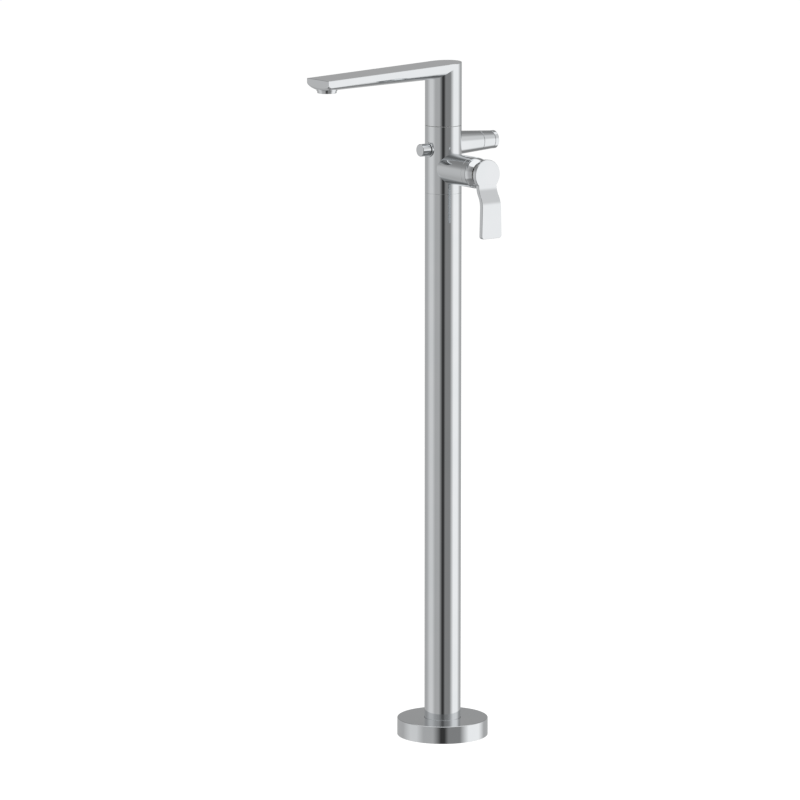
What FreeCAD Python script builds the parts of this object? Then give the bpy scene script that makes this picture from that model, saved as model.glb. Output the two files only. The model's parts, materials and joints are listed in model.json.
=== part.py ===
import FreeCAD, Part
import math
import os

# Floor standing bath filler. Millimetres, +Z up. The origin is where the column's axis meets the floor.
# The spout and the diverter knob point along -Y, the valve barrel and its lever along +X, and the
# shower outlet along +Y.

Vector = FreeCAD.Vector

# ------------------------------------------------------------------ column and mixer body
COLUMN_OD = 50.0
COLUMN_WALL = 1.5
SEAM_HEIGHT = 847.0             # floor to the joint that the spout turns on
BODY_LENGTH = 92.0              # mixer body, from the column tube's end to that joint
BODY_SPIGOT_LENGTH = 22.0       # part of the body that reaches down into the tube
BODY_SPIGOT_FIT = 0.05
BODY_SEAL_SECTION = 2.4
BODY_SEAL_FROM_END = 5.0
BODY_SPIGOT_LEAD = 1.0          # bevel that starts the spigot in the tube

# ------------------------------------------------------------------ fits that repeat
SEAL_TOUCH = 0.03               # what is left between a seal's ring and what it seals on
SEAL_SIDE = 0.15                # a groove's spare width, each side of its ring
SEAL_DEPTH = 0.1                # a groove's spare depth
END_GAP = 0.1                   # spare length between a piece and the end of its pocket
LAID_GAP = 0.05                 # between pieces that are only laid against each other
SCREW_FIT = 0.03                # grub screws in their threads
SCREW_POINT = 0.5               # bevel at a grub screw's tip
SCREW_RIM = 0.2                 # bevel at its socket end
EDGE = 0.5                      # bevel that breaks a turned edge
CUT_OVER = 1.0                  # how far a cutting form passes the face that it opens

# ------------------------------------------------------------------ floor group
PLATE_OD = 116.0
PLATE_THICKNESS = 8.0
ANCHOR_PCD = 95.0
ANCHOR_HOLE = 9.0
ANCHOR_COUNT = 4
ANCHOR_TURN = 45.0              # from +X to the first anchor hole
PLATE_EDGE = 1.0
SPIGOT_FLANGE_THICKNESS = 5.0
SPIGOT_FLANGE_MARGIN = 2.3
SPIGOT_LENGTH = 85.0            # above its flange
SPIGOT_WALL = 3.8
SPIGOT_LIP = 1.6                # step that traps the inlet block
SPIGOT_FIT = 0.05
SPIGOT_LEAD = 1.5
FLANGE_SCREW_COUNT = 4
FLANGE_SCREW_D = 5.0
FLANGE_SCREW_HEAD_D = 9.2
FLANGE_SCREW_HEAD_H = 2.5
FLANGE_SCREW_LENGTH = 11.0
FLANGE_SCREW_TUBE_GAP = 1.5
FLANGE_SCREW_FIT = 0.05
FLANGE_SCREW_KEY = 3.0
FLANGE_SCREW_KEY_DEPTH = 2.0
COLUMN_SCREW_COUNT = 3
COLUMN_SCREW_TURN = 60.0        # from +X to the first screw
COLUMN_SCREW_D = 4.0
COLUMN_SCREW_LENGTH = 4.6
COLUMN_SCREW_ABOVE_FLANGE = 2.6
COLUMN_SCREW_SUNK = 0.1         # below the tube's face
COLUMN_SCREW_KEY = 2.0
COLUMN_SCREW_KEY_DEPTH = 2.0
COVER_OD = 125.0
COVER_HEIGHT = 24.0
COVER_WALL = 2.0
COVER_BORE_GAP = 0.3
COVER_EDGE = 0.6
COVER_COLLAR_WALL = 6.0
COVER_COLLAR_DEPTH = 6.0
COVER_SEAL_SECTION = 3.0
COVER_SEAL_DROP = 0.6           # below the middle of the collar

# ------------------------------------------------------------------ inlets and risers
BLOCK_FIT = 0.1
BLOCK_HEIGHT = 46.0
BLOCK_SEAT = 2.5                # ledge of the plate that carries the block
BLOCK_EDGE = 0.8
PORT_SPACING = 17.2
PORT_THREAD_BORE = 14.95        # G3/8, bore of the female thread
PORT_THREAD_LENGTH = 12.0
CHECK_VALVE_D = 14.0
CHECK_VALVE_LENGTH = 13.6
CHECK_VALVE_BORE = 9.0
CHECK_VALVE_HOLE = 2.4
CHECK_VALVE_HOLES = 4
CHECK_VALVE_CROWN = 1.6         # thickness of the drilled end
CHECK_VALVE_SEAT = 1.2          # how far the seat ring narrows the bore
CHECK_VALVE_SEAT_LENGTH = 1.8
VALVE_FIT = 0.1
RISER_OD = 10.0
RISER_WALL = 1.0
RISER_SOCKET_DEPTH = 12.0
RISER_FIT = 0.06
RISER_END_GAP = 0.2
RISER_SEAL_SECTION = 2.0
CHANNEL_D = 7.6                 # water channels in the block

# ------------------------------------------------------------------ valve barrel and cartridge
BARREL_DROP = 57.5              # seam to the barrel's axis
BARREL_WALL = 3.35              # over the cartridge
BARREL_LENGTH = 68.0            # from the column's axis
CHAMBER_DEPTH = 34.0            # in from the barrel's end
CARTRIDGE_OD = 35.0
CARTRIDGE_FIT = 0.15
CARTRIDGE_BASE_T = 6.0
FIXED_DISC_T = 4.5
MOVING_DISC_T = 4.5
DISC_FIT = 0.1
DISC_LAND = 0.4                 # ceramic left between the shut ports and the disc's pocket
CARRIER_T = 4.5
DISC_ROOM = 6.0                 # how much smaller the moving disc is than the case's bore
DISC_OFFSET = 2.0               # the moving disc's place off centre when shut
TONGUE_HEIGHT = 6.5
TONGUE_HALF_WIDTH = 6.0
TONGUE_HALF_LENGTH = 5.0
TONGUE_END_PLAY = 0.4
CASE_SHOULDER = 18.0            # end of the case's wide part, above its base plate
CASE_NECK_STEP = 2.5            # how far the neck stands in from the case
CASE_TOP = 35.0                 # end of the case, above its base plate
CASE_WALL = 1.2
CASE_LIP_T = 2.0
CASE_LIP_BORE = 19.0
CASE_EDGE = 0.6
ROTOR_FIT = 0.06
ROTOR_END_GAP = 0.25
PIVOT_UP_CASE = 28.0            # lever pivot, above the base plate
PIVOT_PIN_D = 3.0
PIVOT_PIN_SUNK = 1.3            # inside the rotor's side, at each end
PIVOT_FIT = 0.06
PIVOT_SEAT_FIT = 0.02
PIVOT_PIN_EDGE = 0.3
BALL_D = 5.8
BALL_BELOW_PIVOT = 10.0
BALL_FIT = 0.2
STEM_THICK = 8.0
STEM_THIN = 7.0
STEM_NECK_D = 4.0
STEM_STEP_ABOVE_PIVOT = 6.0
STEM_TOP_ABOVE_PIVOT = 25.0
STEM_SIDE_FIT = 0.08
STEM_SWING_PLAY = 0.2
LEVER_LIFT = 24.0               # degrees, shut to fully open
HOT_COLD_SPREAD = 10.0          # between the hot and cold ports of the cartridge
HOT_COLD_DROP = 4.2
HOT_COLD_PORT_D = 4.0
MIXED_RISE = 3.0
MIXED_PORT_D = 6.0
PORT_SEAL_SECTION = 1.4
NUT_LENGTH = 16.0
NUT_THREAD_FIT = 0.05
NUT_WALL_IN_BARREL = 2.0        # barrel wall left outside the nut's thread
NUT_BORE_GAP = 0.1
NUT_NOTCH = 3.0
NUT_NOTCH_COUNT = 4
NUT_DOME_GAP = 0.3
DOME_WALL = 1.9
DOME_STRAIGHT = 8.5             # straight part of the dome ring
DOME_SPHERE_STEP = 0.1          # how much the sphere's radius is less than the barrel's
DOME_SPHERE_SETBACK = 3.9       # sphere's centre, behind the end of the straight part
DOME_OPENING_ANGLE = 50.0       # half angle of the opening, from the axis

# ------------------------------------------------------------------ lever
LEVER_HEAD_OD = 41.0
LEVER_THICKNESS = 6.0
LEVER_HEAD_ABOVE_PIVOT = 26.5   # from the pivot to the head's inner face
LEVER_BOSS_OD = 13.0
LEVER_BOSS_LENGTH = 13.0
LEVER_LENGTH = 85.5             # from the barrel's axis to the tip
LEVER_ROOT_HALF_WIDTH = 15.0
LEVER_TIP_HALF_WIDTH = 16.8
LEVER_TIP_CORNER_R = 4.0
LEVER_STEP_OUT = 9.5            # how far the blade stands out from the head
LEVER_STEP_START = 13.0         # below the barrel's axis
LEVER_STEP_HEIGHT = 31.0
LEVER_STEM_FIT = 0.05
LEVER_SCREW_D = 3.8
LEVER_SCREW_FROM_HEAD = 4.6
LEVER_SCREW_STEM_GAP = 0.02
LEVER_SCREW_SUNK = 0.4
LEVER_SCREW_KEY = 1.5
LEVER_SCREW_KEY_DEPTH = 1.2
LEVER_BOSS_EDGE = 0.6

# ------------------------------------------------------------------ diverter
DIVERTER_DROP = 32.0            # seam to the knob's axis
DIVERTER_BORE = 17.0
DIVERTER_BORE_END = 10.0        # behind the column's axis
DIVERTER_TRAVEL = 9.0
DIVERTER_SEAT_BORE = 11.0
DIVERTER_SEAT_LENGTH = 5.0
BONNET_FLANGE_OD = 20.4
BONNET_FLANGE_T = 2.8
BONNET_SHANK_END = 12.0         # from the column's axis
BONNET_FIT = 0.05
BONNET_SPOT_GAP = 0.2           # round the bonnet's flange, in the body's spot face
DIVERTER_STEM_D = 5.0
DIVERTER_STEM_FIT = 0.06
DIVERTER_SEAL_SECTION = 2.4
KNOB_OD = 17.0
KNOB_LENGTH = 13.5
KNOB_GAP = 0.6
KNOB_EDGE = 1.2
KNOB_FOOT_EDGE = 0.4
KNOB_CROWN = 2.9                # solid end of the knob, beyond its stem
PISTON_T = 2.5
PISTON_GAP = 0.3
STEM_HEAD_D = 8.4
STEM_HEAD_T = 1.5
SPRING_MEAN_D = 10.4
SPRING_WIRE = 1.2
SPRING_TURNS = 5
SPRING_END_GAP = 0.05

# ------------------------------------------------------------------ shower outlet
OUTLET_DROP = 26.0              # seam to the outlet's axis
OUTLET_ROOT_OD = 35.6           # cone's size at the column's axis
OUTLET_END_OD = 24.0            # cone's size at its far end
OUTLET_BOSS_LENGTH = 35.0       # column's face to the boss's end
OUTLET_LENGTH = 61.0            # column's face to the sleeve's end
OUTLET_COLLAR_LENGTH = 6.0
OUTLET_COLLAR_SEAT_OD = 22.0
OUTLET_COLLAR_SEAT_EDGE = 0.3
OUTLET_COLLAR_FIT = 0.03
OUTLET_COLLAR_STAND = 0.4       # how far the collar stands out from the cone's end
OUTLET_COLLAR_START_EDGE = 0.4
OUTLET_COLLAR_END_EDGE = 0.8
OUTLET_JOINT_GAP = 0.3          # shadow gaps between boss, sleeve and collar
OUTLET_WATERWAY = 14.0
OUTLET_WATERWAY_START = 12.0
OUTLET_SHANK_OD = 21.0
OUTLET_SHANK_LENGTH = 22.0
OUTLET_THREAD_FIT = 0.05
OUTLET_VALVE_D = 16.0
OUTLET_VALVE_LENGTH = 18.0
OUTLET_VALVE_WALL = 2.0
OUTLET_VALVE_SEAT = 1.5
OUTLET_VALVE_SEAT_LENGTH = 2.0
HOSE_THREAD_BORE = 18.64        # G1/2, bore of the female thread
HOSE_THREAD_LENGTH = 10.0
WASHER_T = 2.0
WASHER_BORE = 12.0
WASHER_OD = 17.4
WASHER_FIT = 0.15

# ------------------------------------------------------------------ spout
SPOUT_RISE = 85.0               # seam to the top face, on the column's axis
SPOUT_SLOPE = 2.5               # degrees, down towards the tip
SPOUT_REACH = 208.0             # column's axis to the tip's face
SPOUT_ROOT_DEPTH = 21.0
SPOUT_TIP_DEPTH = 15.5
SPOUT_ROOT_SIDE = 6.0           # flat part of the flanks at the column
SPOUT_TIP_SIDE = 8.0
SPOUT_NOSE_LENGTH = 7.0         # stretch over which the belly rounds up to the tip
SPOUT_NOSE_RISE = 5.0
SPOUT_NOSE_STEPS = 4
SEAM_GAP = 0.4
SPOUT_SLEEVE_WALL = 4.92        # over the nipple
NIPPLE_LENGTH = 58.0            # above the seam
NIPPLE_BORE = 18.0
NIPPLE_LEAD = 1.5
NIPPLE_SHANK_OD = 26.0
NIPPLE_SHANK_LENGTH = 14.0
NIPPLE_SHANK_FIT = 0.05
SPOUT_BORE_FIT = 0.08
SPOUT_ROOF = 7.0                # metal left over the sleeve's bore
SPOUT_DRILL_D = 7.8             # body's waterway up to the nipple
THRUST_RING_T = 2.5
THRUST_RING_WALL = 3.2
THRUST_RING_GAP = 0.1
THRUST_RING_INSET = 0.3
GLIDE_RING_HEIGHT = 6.0
GLIDE_RING_T = 1.4
GLIDE_RING_SPLIT = 1.5
GLIDE_RING_PLACES = (23.0, 49.5)
NIPPLE_SEAL_SECTION = 2.6
NIPPLE_SEAL_PLACES = (33.0, 41.0)
SWIVEL_LIMIT = 75.0             # degrees, each way
SPOUT_SCREW_D = 5.0
SPOUT_SCREW_LENGTH = 6.0
SPOUT_SCREW_RISE = 10.0         # above the seam
SPOUT_SCREW_KEY = 2.5
SPOUT_SCREW_KEY_DEPTH = 2.2
SPOUT_GROOVE_DEPTH = 2.5
SPOUT_GROOVE_SPARE = 0.3
SPOUT_CHANNEL_D = 9.0
SPOUT_CHANNEL_DEPTH = 8.2       # top face to the channel's axis

# ------------------------------------------------------------------ aerator
AERATOR_FROM_TIP = 15.0         # tip's face to the aerator's axis
AERATOR_OD = 26.0
AERATOR_LIP = 3.0               # what shows below the spout's boss
AERATOR_SHANK_OD = 24.0
AERATOR_SHANK_LENGTH = 7.0
AERATOR_FIT = 0.05
AERATOR_BOSS_OD = 28.0
AERATOR_BOSS_DROP = 0.5
AERATOR_SEAL_T = 1.5
AERATOR_SEAL_BORE = 17.0
AERATOR_BORE = 21.0
AERATOR_RIM = 0.6               # lip that holds the insert
AERATOR_INSERT_T = 5.5
AERATOR_INSERT_RECESS = 1.0
AERATOR_HOLE_D = 1.7
AERATOR_HOLE_PITCH = 3.4
AERATOR_HOLE_RINGS = 2

# ------------------------------------------------------------------ worked-out places
column_r = COLUMN_OD / 2
tube_bore_r = column_r - COLUMN_WALL
body_bottom = SEAM_HEIGHT - BODY_LENGTH
body_spigot_bottom = body_bottom - BODY_SPIGOT_LENGTH
barrel_height = SEAM_HEIGHT - BARREL_DROP
diverter_height = SEAM_HEIGHT - DIVERTER_DROP
outlet_height = SEAM_HEIGHT - OUTLET_DROP
column_foot = PLATE_THICKNESS + SPIGOT_FLANGE_THICKNESS

spigot_r = tube_bore_r - SPIGOT_FIT
block_bore_r = spigot_r - SPIGOT_WALL
block_r = block_bore_r - BLOCK_FIT
block_top = PLATE_THICKNESS + BLOCK_HEIGHT
flange_screw_circle_r = column_r + FLANGE_SCREW_TUBE_GAP + FLANGE_SCREW_HEAD_D / 2
spigot_flange_r = flange_screw_circle_r + FLANGE_SCREW_HEAD_D / 2 + SPIGOT_FLANGE_MARGIN

riser_r = RISER_OD / 2
riser_socket_r = riser_r + RISER_FIT
riser_foot = block_top - RISER_SOCKET_DEPTH + RISER_END_GAP
riser_top = body_spigot_bottom + RISER_SOCKET_DEPTH - RISER_END_GAP
riser_seal_heights = (block_top - RISER_SOCKET_DEPTH / 2, body_spigot_bottom + RISER_SOCKET_DEPTH / 2)

barrel_r = CARTRIDGE_OD / 2 + CARTRIDGE_FIT + BARREL_WALL
chamber_floor = BARREL_LENGTH - CHAMBER_DEPTH
case_neck_r = CARTRIDGE_OD / 2 - CASE_NECK_STEP
case_bore_r = case_neck_r - CASE_WALL
disc_r = case_bore_r - DISC_ROOM / 2
base_top = chamber_floor + CARTRIDGE_BASE_T
fixed_disc_top = base_top + FIXED_DISC_T
moving_disc_top = fixed_disc_top + MOVING_DISC_T
carrier_top = moving_disc_top + CARRIER_T
tongue_top = carrier_top + TONGUE_HEIGHT
case_shoulder = base_top + CASE_SHOULDER
case_top = base_top + CASE_TOP
lip_under = case_top - CASE_LIP_T
pivot_out = base_top + PIVOT_UP_CASE
ball_out = pivot_out - BALL_BELOW_PIVOT
disc_travel = BALL_BELOW_PIVOT * math.sin(math.radians(LEVER_LIFT))
nut_r = barrel_r - NUT_WALL_IN_BARREL
nut_top = case_shoulder + NUT_LENGTH
dome_straight_end = BARREL_LENGTH + DOME_STRAIGHT
dome_centre = dome_straight_end - DOME_SPHERE_SETBACK
dome_sphere_r = barrel_r - DOME_SPHERE_STEP
lever_head_in = pivot_out + LEVER_HEAD_ABOVE_PIVOT

bonnet_seat = math.sqrt(column_r ** 2 - (BONNET_FLANGE_OD / 2) ** 2)
bonnet_face = bonnet_seat + BONNET_FLANGE_T
knob_foot = bonnet_face + KNOB_GAP
knob_end = knob_foot + KNOB_LENGTH
stem_end = knob_end - KNOB_CROWN - END_GAP
piston_back = -(DIVERTER_BORE_END - PISTON_GAP)
piston_front = piston_back + PISTON_T

spout_bore_r = column_r - SPOUT_SLEEVE_WALL
nipple_r = spout_bore_r - SPOUT_BORE_FIT
outlet_boss_end = column_r + OUTLET_BOSS_LENGTH
outlet_end = column_r + OUTLET_LENGTH
spout_foot = SEAM_HEIGHT + SEAM_GAP
spout_top = SEAM_HEIGHT + SPOUT_RISE
aerator_out = SPOUT_REACH - AERATOR_FROM_TIP
slope = math.tan(math.radians(SPOUT_SLOPE))


# ------------------------------------------------------------------ shaping helpers
class Line:
    """A turning axis: a point on it, its direction, and the side that radii are drawn towards."""

    def __init__(self, origin, direction, side):
        self.origin = Vector(*origin)
        self.direction = Vector(*direction)
        self.side = Vector(*side)

    def at(self, along, out=0.0):
        return self.origin + self.direction * along + self.side * out


COLUMN = Line((0, 0, 0), (0, 0, 1), (1, 0, 0))
BARREL = Line((0, 0, barrel_height), (1, 0, 0), (0, 0, 1))
DIVERTER = Line((0, 0, diverter_height), (0, -1, 0), (1, 0, 0))
OUTLET = Line((0, 0, outlet_height), (0, 1, 0), (0, 0, 1))


def turned(line, points, degrees=360.0, start=0.0):
    """Solid of revolution. A point is (along, out), and an arc is a pair of them: through, to."""
    edges = []
    here = line.at(*points[0])
    for step in list(points[1:]) + [points[0]]:
        if isinstance(step[0], tuple):
            through, there = line.at(*step[0]), line.at(*step[1])
            edges.append(Part.Arc(here, through, there).toShape())
        else:
            there = line.at(*step)
            edges.append(Part.LineSegment(here, there).toShape())
        here = there
    face = Part.Face(Part.Wire(edges))
    if start:
        face.rotate(line.origin, line.direction, start)
    return face.revolve(line.origin, line.direction, degrees)


def drum(line, low, high, radius):
    """Plain round solid along a line."""
    return Part.makeCylinder(radius, high - low, line.at(low), line.direction)


def sleeve(line, low, high, outer, inner):
    """Round solid with a hole right through."""
    return turned(line, [(low, inner), (high, inner), (high, outer), (low, outer)])


def edged_drum(line, low, high, radius, low_edge=0.0, high_edge=0.0):
    """Round solid with bevelled ends."""
    points = [(low, 0), (low, radius - low_edge)]
    if low_edge:
        points.append((low + low_edge, radius))
    if high_edge:
        points.append((high - high_edge, radius))
    points.append((high, radius - high_edge))
    points.append((high, 0))
    return turned(line, points)


def seal_ring(line, along, inner, section):
    """Round-section ring whose hole has the given radius."""
    return Part.makeTorus(inner + section / 2, section / 2, line.at(along), line.direction)


def groove(line, along, section, shallow, deep):
    """What is cut away for a seal ring."""
    half = section / 2 + SEAL_SIDE
    return sleeve(line, along - half, along + half, max(shallow, deep), min(shallow, deep))


def block(low, high):
    """Box between two corners."""
    size = [high[i] - low[i] for i in range(3)]
    return Part.makeBox(size[0], size[1], size[2], Vector(*low))


def around(shape, count, first=0.0, centre=Vector(0, 0, 0), direction=Vector(0, 0, 1)):
    """Copies of a shape, evenly turned about an axis."""
    copies = []
    for index in range(count):
        copy = shape.copy()
        copy.rotate(centre, direction, first + 360.0 * index / count)
        copies.append(copy)
    return copies


def hexagon_socket(line, along, across, depth):
    """Six-sided recess that goes inwards from a place on a line."""
    corner = across / math.sqrt(3)
    side = line.side
    points = []
    for index in range(7):
        turn = FreeCAD.Rotation(line.direction, 60.0 * index)
        points.append(line.at(along) + turn.multVec(side) * corner)
    return Part.Face(Part.makePolygon(points)).extrude(line.direction * -depth)


def grub_screw(line, low, high, diameter):
    """Headless screw, before its socket is cut."""
    return edged_drum(line, low, high, diameter / 2 - SCREW_FIT, SCREW_POINT, SCREW_RIM)


def riser_lines():
    """Axes of the cold and the hot side."""
    half = PORT_SPACING / 2
    cold = Line((0, -half, 0), (0, 0, 1), (1, 0, 0))
    hot = Line((0, half, 0), (0, 0, 1), (1, 0, 0))
    return cold, hot


# ------------------------------------------------------------------ floor group
def floor_plate():
    low, high = -CUT_OVER, PLATE_THICKNESS + CUT_OVER
    plate = edged_drum(COLUMN, 0, PLATE_THICKNESS, PLATE_OD / 2, 0, PLATE_EDGE)
    window = drum(COLUMN, low, high, block_r - BLOCK_SEAT)
    anchor = Line((ANCHOR_PCD / 2, 0, 0), (0, 0, 1), (1, 0, 0))
    anchors = around(drum(anchor, low, high, ANCHOR_HOLE / 2), ANCHOR_COUNT, ANCHOR_TURN)
    tapped = drum(flange_screw_line(), low, high, FLANGE_SCREW_D / 2)
    return plate.cut([window] + anchors + around(tapped, FLANGE_SCREW_COUNT))


def flange_screw_line():
    return Line((flange_screw_circle_r, 0, 0), (0, 0, 1), (1, 0, 0))


def flange_screw_form(play):
    """Countersunk screw, head flush with the spigot's flange. Play widens it to make its hole."""
    top = column_foot
    shank = FLANGE_SCREW_D / 2 + play
    head = FLANGE_SCREW_HEAD_D / 2 + play
    foot = top - FLANGE_SCREW_LENGTH
    points = [(foot, 0), (foot, shank), (top - FLANGE_SCREW_HEAD_H, shank), (top, head), (top, 0)]
    return turned(flange_screw_line(), points)


def spigot_screws():
    socket = hexagon_socket(flange_screw_line(), column_foot, FLANGE_SCREW_KEY, FLANGE_SCREW_KEY_DEPTH)
    screw = flange_screw_form(-FLANGE_SCREW_FIT).cut(socket)
    return Part.makeCompound(around(screw, FLANGE_SCREW_COUNT))


def column_screw_line():
    return Line((0, 0, column_foot + COLUMN_SCREW_ABOVE_FLANGE), (1, 0, 0), (0, 0, 1))


def column_spigot():
    low, flange_top = PLATE_THICKNESS, column_foot
    lip_r = block_bore_r - SPIGOT_LIP
    top = flange_top + SPIGOT_LENGTH
    points = [
        (low, block_bore_r),
        (low, spigot_flange_r),
        (flange_top - EDGE, spigot_flange_r),
        (flange_top, spigot_flange_r - EDGE),
        (flange_top, spigot_r),
        (top - SPIGOT_LEAD, spigot_r),
        (top, spigot_r - SPIGOT_LEAD),
        (top, lip_r),
        (block_top + BLOCK_FIT, lip_r),
        (block_top + BLOCK_FIT, block_bore_r),
    ]
    body = turned(COLUMN, points)
    screw_holes = around(flange_screw_form(0.0), FLANGE_SCREW_COUNT)
    tapped = drum(column_screw_line(), block_bore_r - CUT_OVER, spigot_r + CUT_OVER, COLUMN_SCREW_D / 2)
    return body.cut(screw_holes + around(tapped, COLUMN_SCREW_COUNT, COLUMN_SCREW_TURN))


def column_grub_screws():
    line = column_screw_line()
    end = column_r - COLUMN_SCREW_SUNK
    screw = grub_screw(line, end - COLUMN_SCREW_LENGTH, end, COLUMN_SCREW_D)
    screw = screw.cut(hexagon_socket(line, end, COLUMN_SCREW_KEY, COLUMN_SCREW_KEY_DEPTH))
    return Part.makeCompound(around(screw, COLUMN_SCREW_COUNT, COLUMN_SCREW_TURN))


def cover_flange():
    bore = column_r + COVER_BORE_GAP
    outer = COVER_OD / 2
    top = COVER_HEIGHT
    collar_r = bore + COVER_COLLAR_WALL
    collar_foot = top - COVER_COLLAR_DEPTH
    points = [
        (0, outer - COVER_WALL),
        (0, outer),
        (top - COVER_EDGE, outer),
        (top, outer - COVER_EDGE),
        (top, bore),
        (collar_foot, bore),
        (collar_foot, collar_r),
        (top - COVER_WALL, collar_r),
        (top - COVER_WALL, outer - COVER_WALL),
    ]
    deep = cover_seal_r() + COVER_SEAL_SECTION
    ring = groove(COLUMN, cover_seal_height(), COVER_SEAL_SECTION, bore - CUT_OVER, deep)
    return turned(COLUMN, points).cut(ring)


def cover_seal_r():
    return column_r + SEAL_TOUCH


def cover_seal_height():
    return COVER_HEIGHT - COVER_COLLAR_DEPTH / 2 - COVER_SEAL_DROP


def cover_seal():
    return seal_ring(COLUMN, cover_seal_height(), cover_seal_r(), COVER_SEAL_SECTION)


# ------------------------------------------------------------------ inlets and risers
def inlet_block():
    body = edged_drum(COLUMN, PLATE_THICKNESS, block_top, block_r, 0, BLOCK_EDGE)
    thread_top = PLATE_THICKNESS + PORT_THREAD_LENGTH
    valve_top = thread_top + CHECK_VALVE_LENGTH + VALVE_FIT
    cuts = []
    for line in riser_lines():
        cuts.append(drum(line, PLATE_THICKNESS - CUT_OVER, thread_top, PORT_THREAD_BORE / 2))
        cuts.append(drum(line, thread_top, valve_top, CHECK_VALVE_D / 2 + VALVE_FIT))
        cuts.append(drum(line, valve_top, block_top, CHANNEL_D / 2))
        cuts.append(drum(line, block_top - RISER_SOCKET_DEPTH, block_top + CUT_OVER, riser_socket_r))
        cuts.append(riser_groove(line, riser_seal_heights[0]))
    return body.cut(cuts)


def riser_groove(line, height):
    deep = riser_r + SEAL_TOUCH + RISER_SEAL_SECTION + SEAL_DEPTH
    return groove(line, height, RISER_SEAL_SECTION, riser_r - RISER_WALL, deep)


def inlet_check_valves():
    """Non-return cartridges: a cup with a seat ring, and drilled crown that lets the water out."""
    low = PLATE_THICKNESS + PORT_THREAD_LENGTH + VALVE_FIT / 2
    high = low + CHECK_VALVE_LENGTH - VALVE_FIT
    outer, inner = CHECK_VALVE_D / 2, CHECK_VALVE_BORE / 2
    crown, seat = high - CHECK_VALVE_CROWN, inner - CHECK_VALVE_SEAT
    seat_end = low + CHECK_VALVE_SEAT_LENGTH
    valves = []
    for line in riser_lines():
        points = [
            (low, seat),
            (low, outer - EDGE),
            (low + EDGE, outer),
            (high - EDGE, outer),
            (high, outer - EDGE),
            (high, 0),
            (crown, 0),
            (crown, inner),
            (seat_end + CHECK_VALVE_SEAT, inner),
            (seat_end, seat),
        ]
        hole = Line((line.origin.x + inner / 2, line.origin.y, 0), (0, 0, 1), (1, 0, 0))
        drill = drum(hole, crown - CUT_OVER, high + CUT_OVER, CHECK_VALVE_HOLE / 2)
        valves.append(turned(line, points).cut(around(drill, CHECK_VALVE_HOLES, 0.0, line.origin)))
    return Part.makeCompound(valves)


def riser(line):
    return sleeve(line, riser_foot, riser_top, riser_r, riser_r - RISER_WALL)


def riser_seals():
    rings = []
    for line in riser_lines():
        for height in riser_seal_heights:
            rings.append(seal_ring(line, height, riser_r + SEAL_TOUCH, RISER_SEAL_SECTION))
    return Part.makeCompound(rings)


def column_tube():
    tube = sleeve(COLUMN, column_foot, body_bottom, column_r, tube_bore_r)
    hole = drum(column_screw_line(), tube_bore_r - CUT_OVER, column_r + CUT_OVER, COLUMN_SCREW_D / 2)
    return tube.cut(around(hole, COLUMN_SCREW_COUNT, COLUMN_SCREW_TURN))


# ------------------------------------------------------------------ mixer body
def outlet_cone_r(out):
    """Radius of the outlet's cone at a distance from the column's axis."""
    share = out / outlet_end
    return (OUTLET_ROOT_OD + (OUTLET_END_OD - OUTLET_ROOT_OD) * share) / 2


def cartridge_port_lines():
    """Axes of the cold, hot and mixed water ports in the chamber's floor."""
    low = barrel_height - HOT_COLD_DROP
    half = HOT_COLD_SPREAD / 2
    cold = Line((0, -half, low), (1, 0, 0), (0, 0, 1))
    hot = Line((0, half, low), (1, 0, 0), (0, 0, 1))
    mixed = Line((0, 0, barrel_height + MIXED_RISE), (1, 0, 0), (0, 0, 1))
    return cold, hot, mixed


def body_outside():
    """Column stretch, spigot below it, valve barrel and outlet boss."""
    spigot_r = tube_bore_r - BODY_SPIGOT_FIT
    spigot = edged_drum(COLUMN, body_spigot_bottom, body_bottom, spigot_r, BODY_SPIGOT_LEAD)
    trunk = drum(COLUMN, body_bottom, SEAM_HEIGHT, column_r)
    barrel = drum(BARREL, 0, BARREL_LENGTH, barrel_r)
    end = outlet_boss_end
    points = [(0, 0), (0, outlet_cone_r(0)), (end, outlet_cone_r(end)), (end, 0)]
    return trunk.fuse([spigot, barrel, turned(OUTLET, points)])


def body_chamber():
    """Valve chamber, with the wider stretch that takes the cartridge nut."""
    narrow = CARTRIDGE_OD / 2 + CARTRIDGE_FIT
    points = [
        (chamber_floor, 0),
        (chamber_floor, narrow),
        (case_shoulder, narrow),
        (case_shoulder, nut_r),
        (BARREL_LENGTH + CUT_OVER, nut_r),
        (BARREL_LENGTH + CUT_OVER, 0),
    ]
    return turned(BARREL, points)


def body_waterways():
    """Drillings from the risers to the cartridge, and on to the spout and the shower outlet."""
    cold, hot, mixed = cartridge_port_lines()
    cuts = []
    for port in (cold, hot):
        cuts.append(drum(port, 0, chamber_floor + CUT_OVER, HOT_COLD_PORT_D / 2))
    port_top = barrel_height - HOT_COLD_DROP + HOT_COLD_PORT_D / 2
    socket_top = body_spigot_bottom + RISER_SOCKET_DEPTH
    for line in riser_lines():
        cuts.append(drum(line, body_spigot_bottom, port_top, riser_r - RISER_WALL))
        cuts.append(drum(line, body_spigot_bottom - CUT_OVER, socket_top, riser_socket_r))
        cuts.append(riser_groove(line, riser_seal_heights[1]))
    cuts.append(drum(mixed, 0, chamber_floor + CUT_OVER, MIXED_PORT_D / 2))
    mixed_up = Line((0, mixed_drill_back(), 0), (0, 0, 1), (1, 0, 0))
    cuts.append(drum(mixed_up, barrel_height + MIXED_RISE, diverter_height, MIXED_PORT_D / 2))
    spout_up = Line((0, (SPOUT_DRILL_D - NIPPLE_BORE) / 2, 0), (0, 0, 1), (1, 0, 0))
    cuts.append(drum(spout_up, diverter_height, SEAM_HEIGHT + CUT_OVER, SPOUT_DRILL_D / 2))
    return cuts


def mixed_drill_back():
    """The mixed water comes up between the piston's two resting places."""
    return -(piston_front + piston_back + DIVERTER_TRAVEL) / 2


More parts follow.
